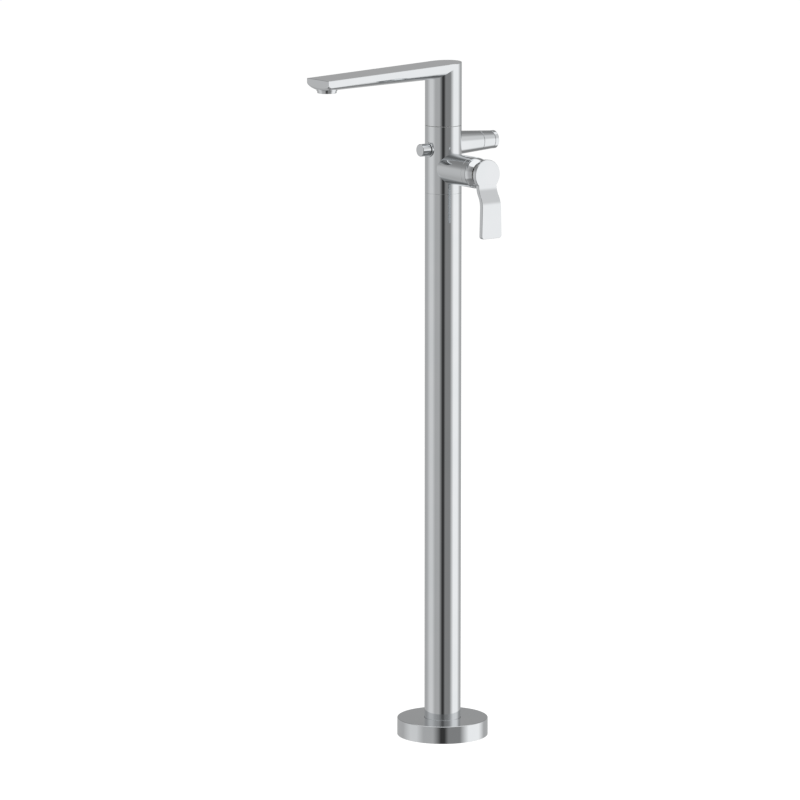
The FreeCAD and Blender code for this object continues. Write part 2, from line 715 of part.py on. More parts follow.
def diverter_cuts():
    """Spot face for the bonnet, the piston's bore and its seat towards the shower outlet."""
    floor, front = -DIVERTER_BORE_END, column_r + CUT_OVER
    bore = drum(DIVERTER, floor, front, DIVERTER_BORE / 2)
    face = drum(DIVERTER, bonnet_seat, front, BONNET_FLANGE_OD / 2 + BONNET_SPOT_GAP)
    seat = drum(DIVERTER, floor - DIVERTER_SEAT_LENGTH, floor + CUT_OVER, DIVERTER_SEAT_BORE / 2)
    return [bore, face, seat]


def outlet_cuts():
    """Waterway behind the diverter's seat and the thread for the outlet sleeve."""
    shank_in = outlet_boss_end - OUTLET_SHANK_LENGTH
    way = drum(OUTLET, OUTLET_WATERWAY_START, outlet_boss_end, OUTLET_WATERWAY / 2)
    thread = drum(OUTLET, shank_in, outlet_boss_end + CUT_OVER, OUTLET_SHANK_OD / 2)
    return [way, thread]


def mixer_body():
    nipple_seat = SEAM_HEIGHT - NIPPLE_SHANK_LENGTH
    cuts = [body_chamber(), drum(COLUMN, nipple_seat, SEAM_HEIGHT + CUT_OVER, NIPPLE_SHANK_OD / 2)]
    cuts += body_waterways() + diverter_cuts() + outlet_cuts()
    deep = tube_bore_r - SEAL_TOUCH - BODY_SEAL_SECTION - SEAL_DEPTH
    cuts.append(groove(COLUMN, body_seal_height(), BODY_SEAL_SECTION, column_r, deep))
    return body_outside().cut(cuts)


def body_seal_height():
    return body_spigot_bottom + BODY_SEAL_FROM_END


def body_seal():
    inner = tube_bore_r - SEAL_TOUCH - BODY_SEAL_SECTION
    return seal_ring(COLUMN, body_seal_height(), inner, BODY_SEAL_SECTION)


# ------------------------------------------------------------------ cartridge
def cartridge_base():
    body = edged_drum(BARREL, chamber_floor, base_top, CARTRIDGE_OD / 2, EDGE)
    low = chamber_floor - CUT_OVER
    cuts = []
    for line, port in zip(cartridge_port_lines(), port_diameters()):
        pocket = port / 2 + SEAL_TOUCH + PORT_SEAL_SECTION + SEAL_DEPTH
        cuts.append(drum(line, low, base_top + CUT_OVER, port / 2))
        cuts.append(drum(line, low, chamber_floor + PORT_SEAL_SECTION + SEAL_DEPTH, pocket))
    return body.cut(cuts)


def port_diameters():
    return HOT_COLD_PORT_D, HOT_COLD_PORT_D, MIXED_PORT_D


def cartridge_seals():
    rings = []
    for line, port in zip(cartridge_port_lines(), port_diameters()):
        along = chamber_floor + SEAL_TOUCH + PORT_SEAL_SECTION / 2
        rings.append(seal_ring(line, along, port / 2 + SEAL_TOUCH, PORT_SEAL_SECTION))
    return Part.makeCompound(rings)


def fixed_disc():
    body = drum(BARREL, base_top, fixed_disc_top, case_bore_r - DISC_FIT)
    cuts = []
    for line, port in zip(cartridge_port_lines(), port_diameters()):
        cuts.append(drum(line, base_top - CUT_OVER, fixed_disc_top + CUT_OVER, port / 2))
    return body.cut(cuts)


def cartridge_case():
    bore, neck = case_bore_r, case_neck_r
    points = [
        (base_top, bore),
        (base_top, CARTRIDGE_OD / 2),
        (case_shoulder, CARTRIDGE_OD / 2),
        (case_shoulder, neck),
        (case_top - CASE_EDGE, neck),
        (case_top, neck - CASE_EDGE),
        (case_top, CASE_LIP_BORE / 2),
        (lip_under, CASE_LIP_BORE / 2),
        (lip_under, bore),
    ]
    return turned(BARREL, points)


def disc_line():
    """Axis of the moving disc and its carrier at rest."""
    return Line((0, 0, barrel_height + DISC_OFFSET), (1, 0, 0), (0, 0, 1))


def moving_disc():
    """Ceramic disc. Shut, its pocket lies inside the inlets at any turn; slid down, it reaches them."""
    body = drum(disc_line(), fixed_disc_top, moving_disc_top, disc_r)
    face, deep = fixed_disc_top - CUT_OVER, fixed_disc_top + MOVING_DISC_T / 2
    inlets_from_axis = math.hypot(HOT_COLD_SPREAD / 2, HOT_COLD_DROP) - HOT_COLD_PORT_D / 2
    pocket = drum(BARREL, face, deep, inlets_from_axis - DISC_LAND)
    outlet = Line((0, 0, barrel_height + disc_travel), (1, 0, 0), (0, 0, 1))
    return body.cut([pocket, drum(outlet, face, deep, MIXED_PORT_D / 2)])


def disc_carrier():
    body = drum(disc_line(), moving_disc_top, carrier_top, disc_r)
    wide, tall = TONGUE_HALF_WIDTH, TONGUE_HALF_LENGTH
    tongue = block(
        (carrier_top - CUT_OVER, -wide, barrel_height - tall),
        (tongue_top, wide, barrel_height + tall),
    )
    room = BALL_D / 2 + BALL_FIT
    socket = block(
        (ball_out - room, -room, barrel_height - room),
        (tongue_top + CUT_OVER, room, barrel_height + room),
    )
    return body.fuse(tongue).cut(socket)


def cartridge_rotor():
    """Drum that turns with the lever; it holds the pivot pin and guides the disc carrier."""
    low, high = carrier_top + ROTOR_END_GAP, lip_under - ROTOR_END_GAP
    body = drum(BARREL, low, high, case_bore_r - ROTOR_FIT)
    room = STEM_THICK / 2 + STEM_SIDE_FIT
    lean = math.tan(math.radians(LEVER_LIFT))
    slack = STEM_THICK / 2 / math.cos(math.radians(LEVER_LIFT)) + STEM_SWING_PLAY
    below = barrel_height - (pivot_out - low) * lean - slack
    above = barrel_height + (high - pivot_out) * lean + slack
    over = CUT_OVER
    inner_slot = block((low - over, -room, below), (pivot_out + over, room, barrel_height + slack))
    outer_slot = block((pivot_out - over, -room, barrel_height - slack), (high + over, room, above))
    wide, tall = TONGUE_HALF_WIDTH + STEM_SIDE_FIT, TONGUE_HALF_LENGTH + TONGUE_END_PLAY
    guide = block(
        (low - over, -wide, barrel_height - tall - disc_travel),
        (tongue_top + TONGUE_END_PLAY, wide, barrel_height + tall),
    )
    pin = drum(pivot_line(), -CARTRIDGE_OD / 2, CARTRIDGE_OD / 2, PIVOT_PIN_D / 2 + PIVOT_SEAT_FIT)
    return body.cut([inner_slot, outer_slot, guide, pin])


def pivot_line():
    return Line((pivot_out, 0, barrel_height), (0, 1, 0), (0, 0, 1))


def pivot_pin():
    half = case_bore_r - PIVOT_PIN_SUNK
    return edged_drum(pivot_line(), -half, half, PIVOT_PIN_D / 2, PIVOT_PIN_EDGE, PIVOT_PIN_EDGE)


def cartridge_stem():
    """Square stem on the pivot, with a ball at its foot that drives the disc carrier."""
    thick, thin = STEM_THICK / 2, STEM_THIN / 2
    step = pivot_out + STEM_STEP_ABOVE_PIVOT
    foot = pivot_out - STEM_STEP_ABOVE_PIVOT
    top = pivot_out + STEM_TOP_ABOVE_PIVOT
    wide = block((foot, -thick, barrel_height - thick), (step, thick, barrel_height + thick))
    narrow = block((step - CUT_OVER, -thin, barrel_height - thin), (top, thin, barrel_height + thin))
    neck = drum(BARREL, ball_out, foot + CUT_OVER, STEM_NECK_D / 2)
    ball = Part.makeSphere(BALL_D / 2, BARREL.at(ball_out))
    hole = drum(pivot_line(), -STEM_THICK, STEM_THICK, PIVOT_PIN_D / 2 + PIVOT_FIT)
    return wide.fuse([narrow, neck, ball]).cut(hole)


def cartridge_nut():
    outer = nut_r - NUT_THREAD_FIT
    body = sleeve(BARREL, case_shoulder, nut_top, outer, case_neck_r + NUT_BORE_GAP)
    half = NUT_NOTCH / 2
    notch = block(
        (nut_top - NUT_NOTCH, -half, barrel_height),
        (nut_top + CUT_OVER, half, barrel_height + 2 * barrel_r),
    )
    return body.cut(around(notch, NUT_NOTCH_COUNT, 0.0, BARREL.origin, BARREL.direction))


def sphere_point(radius, angle):
    """Place on the dome's sphere, as (along, out), at an angle from the barrel's axis."""
    turn = math.radians(angle)
    return dome_centre + radius * math.cos(turn), radius * math.sin(turn)


def cartridge_dome():
    """Ring that screws over the nut and narrows to a ball-shaped edge under the lever's head."""
    inner_sphere = dome_sphere_r - DOME_WALL
    edge_angle = math.degrees(math.acos(DOME_SPHERE_SETBACK / dome_sphere_r))
    cavity_end = nut_top + NUT_DOME_GAP
    inner_angle = math.degrees(math.acos((cavity_end - dome_centre) / inner_sphere))
    points = [
        (BARREL_LENGTH, nut_r),
        (BARREL_LENGTH, barrel_r),
        (dome_straight_end, barrel_r),
        sphere_point(dome_sphere_r, edge_angle),
        (sphere_point(dome_sphere_r, (edge_angle + DOME_OPENING_ANGLE) / 2),
         sphere_point(dome_sphere_r, DOME_OPENING_ANGLE)),
        sphere_point(inner_sphere, DOME_OPENING_ANGLE),
        (sphere_point(inner_sphere, (inner_angle + DOME_OPENING_ANGLE) / 2),
         sphere_point(inner_sphere, inner_angle)),
        (cavity_end, nut_r),
    ]
    return turned(BARREL, points)


# ------------------------------------------------------------------ lever
def lever_side():
    """The lever seen from the side: upright head, then an S-bend out to the straight blade."""
    top = LEVER_HEAD_OD
    bend_high = -LEVER_STEP_START
    bend_low = bend_high - LEVER_STEP_HEIGHT
    inner, outer = lever_head_in, lever_head_in + LEVER_THICKNESS
    step = LEVER_STEP_OUT

    def place(out, up):
        return Vector(out, 0, barrel_height + up)

    def half_bend(start, end):
        """Arc that leaves start upright and meets end; its middle lies a quarter of the step out."""
        chord_out, chord_up = end[0] - start[0], end[1] - start[1]
        radius = (chord_out ** 2 + chord_up ** 2) / (2 * abs(chord_out))
        half = math.atan2(abs(chord_out), abs(chord_up))
        side = math.copysign(1.0, chord_out)
        out = start[0] + side * radius * (1 - math.cos(half))
        up = start[1] + math.copysign(radius * math.sin(half), chord_up)
        return Part.Arc(place(*start), place(out, up), place(*end)).toShape()

    def bend(x):
        middle = (x + step / 2, (bend_high + bend_low) / 2)
        upper = half_bend((x, bend_high), middle)
        lower = half_bend((x + step, bend_low), middle)
        return upper, lower

    def straight(a, b):
        return Part.LineSegment(place(*a), place(*b)).toShape()

    foot = -LEVER_LENGTH - CUT_OVER
    inner_upper, inner_lower = bend(inner)
    outer_upper, outer_lower = bend(outer)
    edges = [
        straight((inner, top), (inner, bend_high)),
        inner_upper,
        inner_lower,
        straight((inner + step, bend_low), (inner + step, foot)),
        straight((inner + step, foot), (outer + step, foot)),
        straight((outer + step, foot), (outer + step, bend_low)),
        outer_lower,
        outer_upper,
        straight((outer, bend_high), (outer, top)),
        straight((outer, top), (inner, top)),
    ]
    face = Part.Face(Part.Wire(Part.__sortEdges__(edges)))
    return face.extrude(Vector(0, 2 * LEVER_HEAD_OD, 0)).translated(Vector(0, -LEVER_HEAD_OD, 0))


def lever_front():
    """The lever seen from outside: round head and a blade that widens a little to its tip."""
    head_r = LEVER_HEAD_OD / 2
    root, tip = LEVER_ROOT_HALF_WIDTH, LEVER_TIP_HALF_WIDTH
    foot = -LEVER_LENGTH
    corner = LEVER_TIP_CORNER_R
    shoulder = -math.sqrt(head_r ** 2 - root ** 2)
    lean = (tip - root) / (shoulder - foot)
    edge = tip - corner * lean
    inset = corner * (1 - math.sqrt(0.5))

    def place(across, up):
        return Vector(0, across, barrel_height + up)

    def arc(start, through, end):
        return Part.Arc(place(*start), place(*through), place(*end)).toShape()

    def straight(start, end):
        return Part.LineSegment(place(*start), place(*end)).toShape()

    edges = [
        arc((root, shoulder), (0, head_r), (-root, shoulder)),
        straight((-root, shoulder), (-edge, foot + corner)),
        arc((-edge, foot + corner), (inset - edge, foot + inset), (corner - edge, foot)),
        straight((corner - edge, foot), (edge - corner, foot)),
        arc((edge - corner, foot), (edge - inset, foot + inset), (edge, foot + corner)),
        straight((edge, foot + corner), (root, shoulder)),
    ]
    face = Part.Face(Part.Wire(edges))
    reach = lever_head_in + LEVER_THICKNESS + LEVER_STEP_OUT + CUT_OVER
    return face.extrude(Vector(reach, 0, 0))


def lever():
    plate = lever_side().common(lever_front())
    boss_in = lever_head_in - LEVER_BOSS_LENGTH
    boss = edged_drum(BARREL, boss_in, lever_head_in + CUT_OVER, LEVER_BOSS_OD / 2, LEVER_BOSS_EDGE)
    half = STEM_THIN / 2 + LEVER_STEM_FIT
    socket = block(
        (boss_in - CUT_OVER, -half, barrel_height - half),
        (pivot_out + STEM_TOP_ABOVE_PIVOT + END_GAP, half, barrel_height + half),
    )
    screw_hole = drum(lever_screw_line(), 0, LEVER_BOSS_OD, LEVER_SCREW_D / 2)
    return plate.fuse(boss).cut([socket, screw_hole])


def lever_screw_line():
    out = lever_head_in - LEVER_SCREW_FROM_HEAD
    return Line((out, 0, barrel_height), (0, 0, -1), (1, 0, 0))


def lever_grub_screw():
    line = lever_screw_line()
    end = LEVER_BOSS_OD / 2 - LEVER_SCREW_SUNK
    screw = drum(line, STEM_THIN / 2 + LEVER_SCREW_STEM_GAP, end, LEVER_SCREW_D / 2 - SCREW_FIT)
    return screw.cut(hexagon_socket(line, end, LEVER_SCREW_KEY, LEVER_SCREW_KEY_DEPTH))


# ------------------------------------------------------------------ diverter
def diverter_bonnet():
    flange, shank = BONNET_FLANGE_OD / 2, DIVERTER_BORE / 2 - BONNET_FIT
    stem = DIVERTER_STEM_D / 2 + DIVERTER_STEM_FIT
    points = [
        (BONNET_SHANK_END, stem),
        (BONNET_SHANK_END, shank),
        (bonnet_seat, shank),
        (bonnet_seat, flange),
        (bonnet_face - EDGE, flange),
        (bonnet_face, flange - EDGE),
        (bonnet_face, stem),
    ]
    deep = DIVERTER_STEM_D / 2 + SEAL_TOUCH + DIVERTER_SEAL_SECTION + SEAL_DEPTH
    ring = groove(DIVERTER, diverter_seal_place(), DIVERTER_SEAL_SECTION, DIVERTER_STEM_D / 4, deep)
    return turned(DIVERTER, points).cut(ring)


def diverter_seal_place():
    return (BONNET_SHANK_END + bonnet_face) / 2


def diverter_seal():
    inner = DIVERTER_STEM_D / 2 + SEAL_TOUCH
    return seal_ring(DIVERTER, diverter_seal_place(), inner, DIVERTER_SEAL_SECTION)


def diverter_stem():
    r = DIVERTER_STEM_D / 2
    head_end = piston_back - STEM_HEAD_T
    points = [
        (head_end, 0),
        (head_end, STEM_HEAD_D / 2),
        (piston_back, STEM_HEAD_D / 2),
        (piston_back, r),
        (stem_end - EDGE, r),
        (stem_end, r - EDGE),
        (stem_end, 0),
    ]
    return turned(DIVERTER, points)


def diverter_piston():
    outer = DIVERTER_BORE / 2 - PISTON_GAP
    return sleeve(DIVERTER, piston_back, piston_front, outer, DIVERTER_STEM_D / 2)


def diverter_spring():
    """Coil between the bonnet and the piston."""
    wire_r = SPRING_WIRE / 2
    low = piston_front + wire_r + SPRING_END_GAP
    high = BONNET_SHANK_END - wire_r - SPRING_END_GAP
    helix = Part.makeHelix((high - low) / SPRING_TURNS, high - low, SPRING_MEAN_D / 2)
    section = Part.makeCircle(wire_r, Vector(SPRING_MEAN_D / 2, 0, 0), Vector(0, 1, 0))
    coil = Part.Wire(helix).makePipeShell([Part.Wire(section)], True, True)
    coil.rotate(Vector(0, 0, 0), Vector(1, 0, 0), 90)
    coil.translate(DIVERTER.at(low))
    return coil


def diverter_knob():
    outer = KNOB_OD / 2
    hole = DIVERTER_STEM_D / 2
    crown = knob_end - KNOB_CROWN
    inset = KNOB_EDGE * (1 - math.sqrt(0.5))
    points = [
        (knob_foot, hole),
        (knob_foot, outer - KNOB_FOOT_EDGE),
        (knob_foot + KNOB_FOOT_EDGE, outer),
        (knob_end - KNOB_EDGE, outer),
        ((knob_end - inset, outer - inset), (knob_end, outer - KNOB_EDGE)),
        (knob_end, 0),
        (crown, 0),
        (crown, hole),
    ]
    return turned(DIVERTER, points)


# ------------------------------------------------------------------ shower outlet
def outlet_sleeve():
    """Screws into the body; the hose's end screws into its far end."""
    shank_in = outlet_boss_end - OUTLET_SHANK_LENGTH + END_GAP
    shank = OUTLET_SHANK_OD / 2 - OUTLET_THREAD_FIT
    visible = outlet_boss_end + OUTLET_JOINT_GAP
    collar_seat = outlet_end - OUTLET_COLLAR_LENGTH - OUTLET_JOINT_GAP
    seat = OUTLET_COLLAR_SEAT_OD / 2
    thread, pocket = HOSE_THREAD_BORE / 2, WASHER_OD / 2 + WASHER_FIT
    valve = OUTLET_VALVE_D / 2 + VALVE_FIT
    valve_end = shank_in + OUTLET_VALVE_LENGTH + END_GAP
    points = [
        (shank_in, valve),
        (shank_in, shank),
        (visible, shank),
        (visible, outlet_cone_r(visible)),
        (collar_seat, outlet_cone_r(collar_seat)),
        (collar_seat, seat),
        (outlet_end - OUTLET_COLLAR_SEAT_EDGE, seat),
        (outlet_end, seat - OUTLET_COLLAR_SEAT_EDGE),
        (outlet_end, thread),
        (hose_thread_foot(), thread),
        (hose_thread_foot(), pocket),
        (washer_foot() - LAID_GAP, pocket),
        (washer_foot() - LAID_GAP, WASHER_BORE / 2),
        (valve_end, WASHER_BORE / 2),
        (valve_end, valve),
    ]
    return turned(OUTLET, points)


def hose_thread_foot():
    return outlet_end - HOSE_THREAD_LENGTH


def washer_foot():
    return hose_thread_foot() - WASHER_T - LAID_GAP


def outlet_collar():
    """Trim ring round the sleeve's end."""
    start, end = outlet_end - OUTLET_COLLAR_LENGTH, outlet_end
    inner = OUTLET_COLLAR_SEAT_OD / 2 + OUTLET_COLLAR_FIT
    outer = OUTLET_END_OD / 2 + OUTLET_COLLAR_STAND
    points = [
        (start, inner),
        (start, outer - OUTLET_COLLAR_START_EDGE),
        (start + OUTLET_COLLAR_START_EDGE, outer),
        (end - OUTLET_COLLAR_END_EDGE, outer),
        (end, outer - OUTLET_COLLAR_END_EDGE),
        (end, inner),
    ]
    return turned(OUTLET, points)


def outlet_check_valve():
    """Non-return cartridge in the outlet's shank."""
    start = outlet_boss_end - OUTLET_SHANK_LENGTH + END_GAP + LAID_GAP
    end = start + OUTLET_VALVE_LENGTH - END_GAP
    outer = OUTLET_VALVE_D / 2
    inner = outer - OUTLET_VALVE_WALL
    seat, seat_end = inner - OUTLET_VALVE_SEAT, start + OUTLET_VALVE_SEAT_LENGTH
    crown = end - CHECK_VALVE_CROWN
    points = [
        (start, seat),
        (start, outer),
        (end, outer),
        (end, 0),
        (crown, 0),
        (crown, inner),
        (seat_end + OUTLET_VALVE_SEAT, inner),
        (seat_end, seat),
    ]
    hole = Line((inner / 2, 0, outlet_height), (0, 1, 0), (1, 0, 0))
    drill = drum(hole, crown - CUT_OVER, end + CUT_OVER, CHECK_VALVE_HOLE / 2)
    holes = around(drill, CHECK_VALVE_HOLES, 0.0, OUTLET.origin, OUTLET.direction)
    return turned(OUTLET, points).cut(holes)


def outlet_washer():
    low = washer_foot()
    return sleeve(OUTLET, low, low + WASHER_T, WASHER_OD / 2, WASHER_BORE / 2)


# ------------------------------------------------------------------ swivel
def swivel_nipple():
    shank_foot = SEAM_HEIGHT - NIPPLE_SHANK_LENGTH + END_GAP
    top = SEAM_HEIGHT + NIPPLE_LENGTH
    shank_r = NIPPLE_SHANK_OD / 2 - NIPPLE_SHANK_FIT
    over_r = nipple_r + CUT_OVER
    points = [
        (shank_foot, NIPPLE_BORE / 2),
        (shank_foot, shank_r),
        (SEAM_HEIGHT, shank_r),
        (SEAM_HEIGHT, nipple_r),
        (top - NIPPLE_LEAD, nipple_r),
        (top, nipple_r - NIPPLE_LEAD),
        (top, NIPPLE_BORE / 2),
    ]
    body = turned(COLUMN, points)
    cuts = []
    for rise in NIPPLE_SEAL_PLACES:
        deep = spout_bore_r - SEAL_TOUCH - NIPPLE_SEAL_SECTION - SEAL_DEPTH
        cuts.append(groove(COLUMN, SEAM_HEIGHT + rise, NIPPLE_SEAL_SECTION, over_r, deep))
    for rise in GLIDE_RING_PLACES:
        low, high = SEAM_HEIGHT + rise - END_GAP, SEAM_HEIGHT + rise + GLIDE_RING_HEIGHT + END_GAP
        deep = spout_bore_r - SEAL_TOUCH - GLIDE_RING_T - LAID_GAP
        cuts.append(sleeve(COLUMN, low, high, over_r, deep))
    cuts.append(stop_groove())
    return body.cut(cuts)


def stop_groove():
    """Arc groove at the back that the spout's screw runs in; its ends stop the swivel."""
    half_height = SPOUT_SCREW_D / 2 + SPOUT_GROOVE_SPARE
    deep = nipple_r - SPOUT_GROOVE_DEPTH
    spare = math.degrees(math.asin(half_height / deep))
    half_angle = SWIVEL_LIMIT + spare
    middle = SEAM_HEIGHT + SPOUT_SCREW_RISE
    points = [
        (middle - half_height, deep),
        (middle + half_height, deep),
        (middle + half_height, nipple_r + CUT_OVER),
        (middle - half_height, nipple_r + CUT_OVER),
    ]
    return turned(COLUMN, points, 2 * half_angle, 90.0 - half_angle)


def nipple_seals():
    inner = spout_bore_r - SEAL_TOUCH - NIPPLE_SEAL_SECTION
    rings = []
    for rise in NIPPLE_SEAL_PLACES:
        rings.append(seal_ring(COLUMN, SEAM_HEIGHT + rise, inner, NIPPLE_SEAL_SECTION))
    return Part.makeCompound(rings)


def glide_rings():
    rings = []
    outer, half = spout_bore_r - SEAL_TOUCH, GLIDE_RING_SPLIT / 2
    for rise in GLIDE_RING_PLACES:
        low = SEAM_HEIGHT + rise
        high = low + GLIDE_RING_HEIGHT
        ring = sleeve(COLUMN, low, high, outer, outer - GLIDE_RING_T)
        rings.append(ring.cut(block((0, -half, low - CUT_OVER), (column_r, half, high + CUT_OVER))))
    return Part.makeCompound(rings)


def thrust_ring():
    inner = nipple_r + THRUST_RING_INSET
    return sleeve(COLUMN, SEAM_HEIGHT, SEAM_HEIGHT + THRUST_RING_T, inner + THRUST_RING_WALL, inner)


# ------------------------------------------------------------------ spout
def spout_section(reach, depth, side):
    """Spout's outline at a distance from the column's axis: flat top, upright flanks, round belly."""
    half = column_r
    top = spout_top - slope * reach
    low = top - side
    places = ((-half, low), (-half, top), (half, top), (half, low))
    corners = [Vector(x, -reach, z) for x, z in places]
    lines = [Part.LineSegment(corners[i], corners[i + 1]).toShape() for i in range(3)]
    lowest = Vector(0, -reach, top - depth)
    belly = Part.Ellipse(corners[3], lowest, Vector(0, -reach, low))
    return Part.Wire(lines + [belly.toShape(0, math.pi)])


def spout_depths(reach):
    """Depth of the belly and of the flanks at a distance from the column's axis."""
    share = reach / SPOUT_REACH
    depth = SPOUT_ROOT_DEPTH + (SPOUT_TIP_DEPTH - SPOUT_ROOT_DEPTH) * share
    side = SPOUT_ROOT_SIDE + (SPOUT_TIP_SIDE - SPOUT_ROOT_SIDE) * share
    return depth, side


def spout_arm():
    """Straight arm, then the nose where the belly rounds up to the tip's face."""
    nose = SPOUT_REACH - SPOUT_NOSE_LENGTH
    sections = [spout_section(0.0, *spout_depths(0.0)), spout_section(nose, *spout_depths(nose))]
    arm = [Part.makeLoft(sections, True, True)]
    previous = sections[1]
    for step in range(1, SPOUT_NOSE_STEPS + 1):
        turn = math.radians(90.0 * step / SPOUT_NOSE_STEPS)
        reach = nose + SPOUT_NOSE_LENGTH * math.sin(turn)
        rise = SPOUT_NOSE_RISE * (1 - math.cos(turn))
        depth, side = spout_depths(reach)
        following = spout_section(reach, depth - rise, side - rise * SPOUT_TIP_SIDE / SPOUT_TIP_DEPTH)
        arm.append(Part.makeLoft([previous, following], True, True))
        previous = following
    return arm


def above_spout():
    """Everything over the sloping top face, to be cut away."""
    reach = SPOUT_REACH + COLUMN_OD
    points = []
    for along, up in ((COLUMN_OD, 0), (-reach, 0), (-reach, COLUMN_OD), (COLUMN_OD, COLUMN_OD)):
        points.append(Vector(-COLUMN_OD, along, spout_top + slope * along + up))
    points.append(points[0])
    return Part.Face(Part.makePolygon(points)).extrude(Vector(2 * COLUMN_OD, 0, 0))


def aerator_line():
    return Line((0, -aerator_out, 0), (0, 0, 1), (1, 0, 0))


def aerator_top():
    """Height of the spout's top face over the aerator."""
    return spout_top - slope * aerator_out


def aerator_face():
    """Height of the flat boss that the aerator's lip meets."""
    return aerator_top() - spout_depths(aerator_out)[0] - AERATOR_BOSS_DROP


def spout_body():
    """Swivel sleeve and arm in one casting, with its bore, water channel and aerator recess."""
    neck = drum(COLUMN, spout_foot, spout_top + COLUMN_OD / 2, column_r)
    boss = drum(aerator_line(), aerator_face(), aerator_top() - SPOUT_TIP_SIDE / 2, AERATOR_BOSS_OD / 2)
    whole = neck.fuse(spout_arm() + [boss]).cut(above_spout()).removeSplitter()
    fall = math.radians(SPOUT_SLOPE)
    way = Line((0, 0, spout_top - SPOUT_CHANNEL_DEPTH), (0, -math.cos(fall), -math.sin(fall)), (1, 0, 0))
    seat_top = aerator_face() + AERATOR_SHANK_LENGTH + AERATOR_SEAL_T + END_GAP
    thrust_top = SEAM_HEIGHT + THRUST_RING_T + THRUST_RING_GAP
    thrust_r = nipple_r + 2 * THRUST_RING_INSET + THRUST_RING_WALL
    cuts = [
        drum(COLUMN, spout_foot - CUT_OVER, spout_top - SPOUT_ROOF, spout_bore_r),
        drum(COLUMN, spout_foot - CUT_OVER, thrust_top, thrust_r),
        drum(way, 0, aerator_out / math.cos(fall), SPOUT_CHANNEL_D / 2),
        drum(aerator_line(), aerator_face() - CUT_OVER, seat_top, AERATOR_SHANK_OD / 2 + AERATOR_FIT),
        drum(spout_screw_line(), nipple_r - CUT_OVER, column_r + CUT_OVER, SPOUT_SCREW_D / 2),
    ]
    return whole.cut(cuts)


def spout_screw_line():
    return Line((0, 0, SEAM_HEIGHT + SPOUT_SCREW_RISE), (0, 1, 0), (1, 0, 0))


def spout_grub_screw():
    start = nipple_r - SPOUT_GROOVE_DEPTH + SPOUT_GROOVE_SPARE
    end = start + SPOUT_SCREW_LENGTH
    screw = grub_screw(spout_screw_line(), start, end, SPOUT_SCREW_D)
    return screw.cut(hexagon_socket(spout_screw_line(), end, SPOUT_SCREW_KEY, SPOUT_SCREW_KEY_DEPTH))


# ------------------------------------------------------------------ aerator
def aerator_housing():
    face = aerator_face()
    low = face - AERATOR_LIP
    high = face + AERATOR_SHANK_LENGTH
    ledge, shoulder = low + AERATOR_INSERT_RECESS, face - END_GAP
    outer, shank, bore = AERATOR_OD / 2, AERATOR_SHANK_OD / 2, AERATOR_BORE / 2
    points = [
        (low, bore - AERATOR_RIM),
        (low, outer - EDGE),
        (low + EDGE, outer),
        (shoulder, outer),
        (shoulder, shank),
        (high, shank),
        (high, bore),
        (ledge, bore),
        (ledge, bore - AERATOR_RIM),
    ]
    return turned(aerator_line(), points)


def aerator_insert():
    """Jet former: a plug with a honeycomb of holes."""
    low = aerator_face() - AERATOR_LIP + AERATOR_INSERT_RECESS + LAID_GAP
    high = low + AERATOR_INSERT_T
    plug = drum(aerator_line(), low, high, AERATOR_BORE / 2 - AERATOR_FIT)
    holes = []
    rings = AERATOR_HOLE_RINGS
    for row in range(-rings, rings + 1):
        for place in range(-rings, rings + 1):
            if abs(row + place) > rings:
                continue
            x = AERATOR_HOLE_PITCH * (place + row / 2)
            y = AERATOR_HOLE_PITCH * row * math.sqrt(3) / 2 - aerator_out
            hole = Line((x, y, 0), (0, 0, 1), (1, 0, 0))
            holes.append(drum(hole, low - CUT_OVER, high + CUT_OVER, AERATOR_HOLE_D / 2))
    return plug.cut(holes)


def aerator_seal():
    low = aerator_face() + AERATOR_SHANK_LENGTH + LAID_GAP
    outer = AERATOR_SHANK_OD / 2 - AERATOR_FIT
    return sleeve(aerator_line(), low, low + AERATOR_SEAL_T, outer, AERATOR_SEAL_BORE / 2)


# ------------------------------------------------------------------ all pieces
def pieces():
    cold, hot = riser_lines()
    return {
        "floor_plate": floor_plate(),
        "column_spigot": column_spigot(),
        "spigot_screws": spigot_screws(),
        "inlet_block": inlet_block(),
        "inlet_check_valves": inlet_check_valves(),
        "cold_riser": riser(cold),
        "hot_riser": riser(hot),
        "riser_seals": riser_seals(),
        "column_tube": column_tube(),
        "column_grub_screws": column_grub_screws(),
        "cover_flange": cover_flange(),
        "cover_seal": cover_seal(),
        "mixer_body": mixer_body(),
        "body_seal": body_seal(),
        "cartridge_base": cartridge_base(),
        "cartridge_seals": cartridge_seals(),
        "cartridge_case": cartridge_case(),
        "fixed_disc": fixed_disc(),
        "moving_disc": moving_disc(),
        "disc_carrier": disc_carrier(),
        "cartridge_rotor": cartridge_rotor(),
        "pivot_pin": pivot_pin(),
        "cartridge_stem": cartridge_stem(),
        "cartridge_nut": cartridge_nut(),
        "cartridge_dome": cartridge_dome(),
        "lever": lever(),
        "lever_grub_screw": lever_grub_screw(),
        "diverter_bonnet": diverter_bonnet(),
        "diverter_seal": diverter_seal(),
        "diverter_stem": diverter_stem(),
        "diverter_piston": diverter_piston(),
        "diverter_spring": diverter_spring(),
        "diverter_knob": diverter_knob(),
        "outlet_sleeve": outlet_sleeve(),
        "outlet_collar": outlet_collar(),
        "outlet_check_valve": outlet_check_valve(),
        "outlet_washer": outlet_washer(),
        "swivel_nipple": swivel_nipple(),
        "nipple_seals": nipple_seals(),
        "glide_rings": glide_rings(),
        "thrust_ring": thrust_ring(),
        "spout_body": spout_body(),
        "spout_grub_screw": spout_grub_screw(),
        "aerator_housing": aerator_housing(),
        "aerator_insert": aerator_insert(),
        "aerator_seal": aerator_seal(),
    }


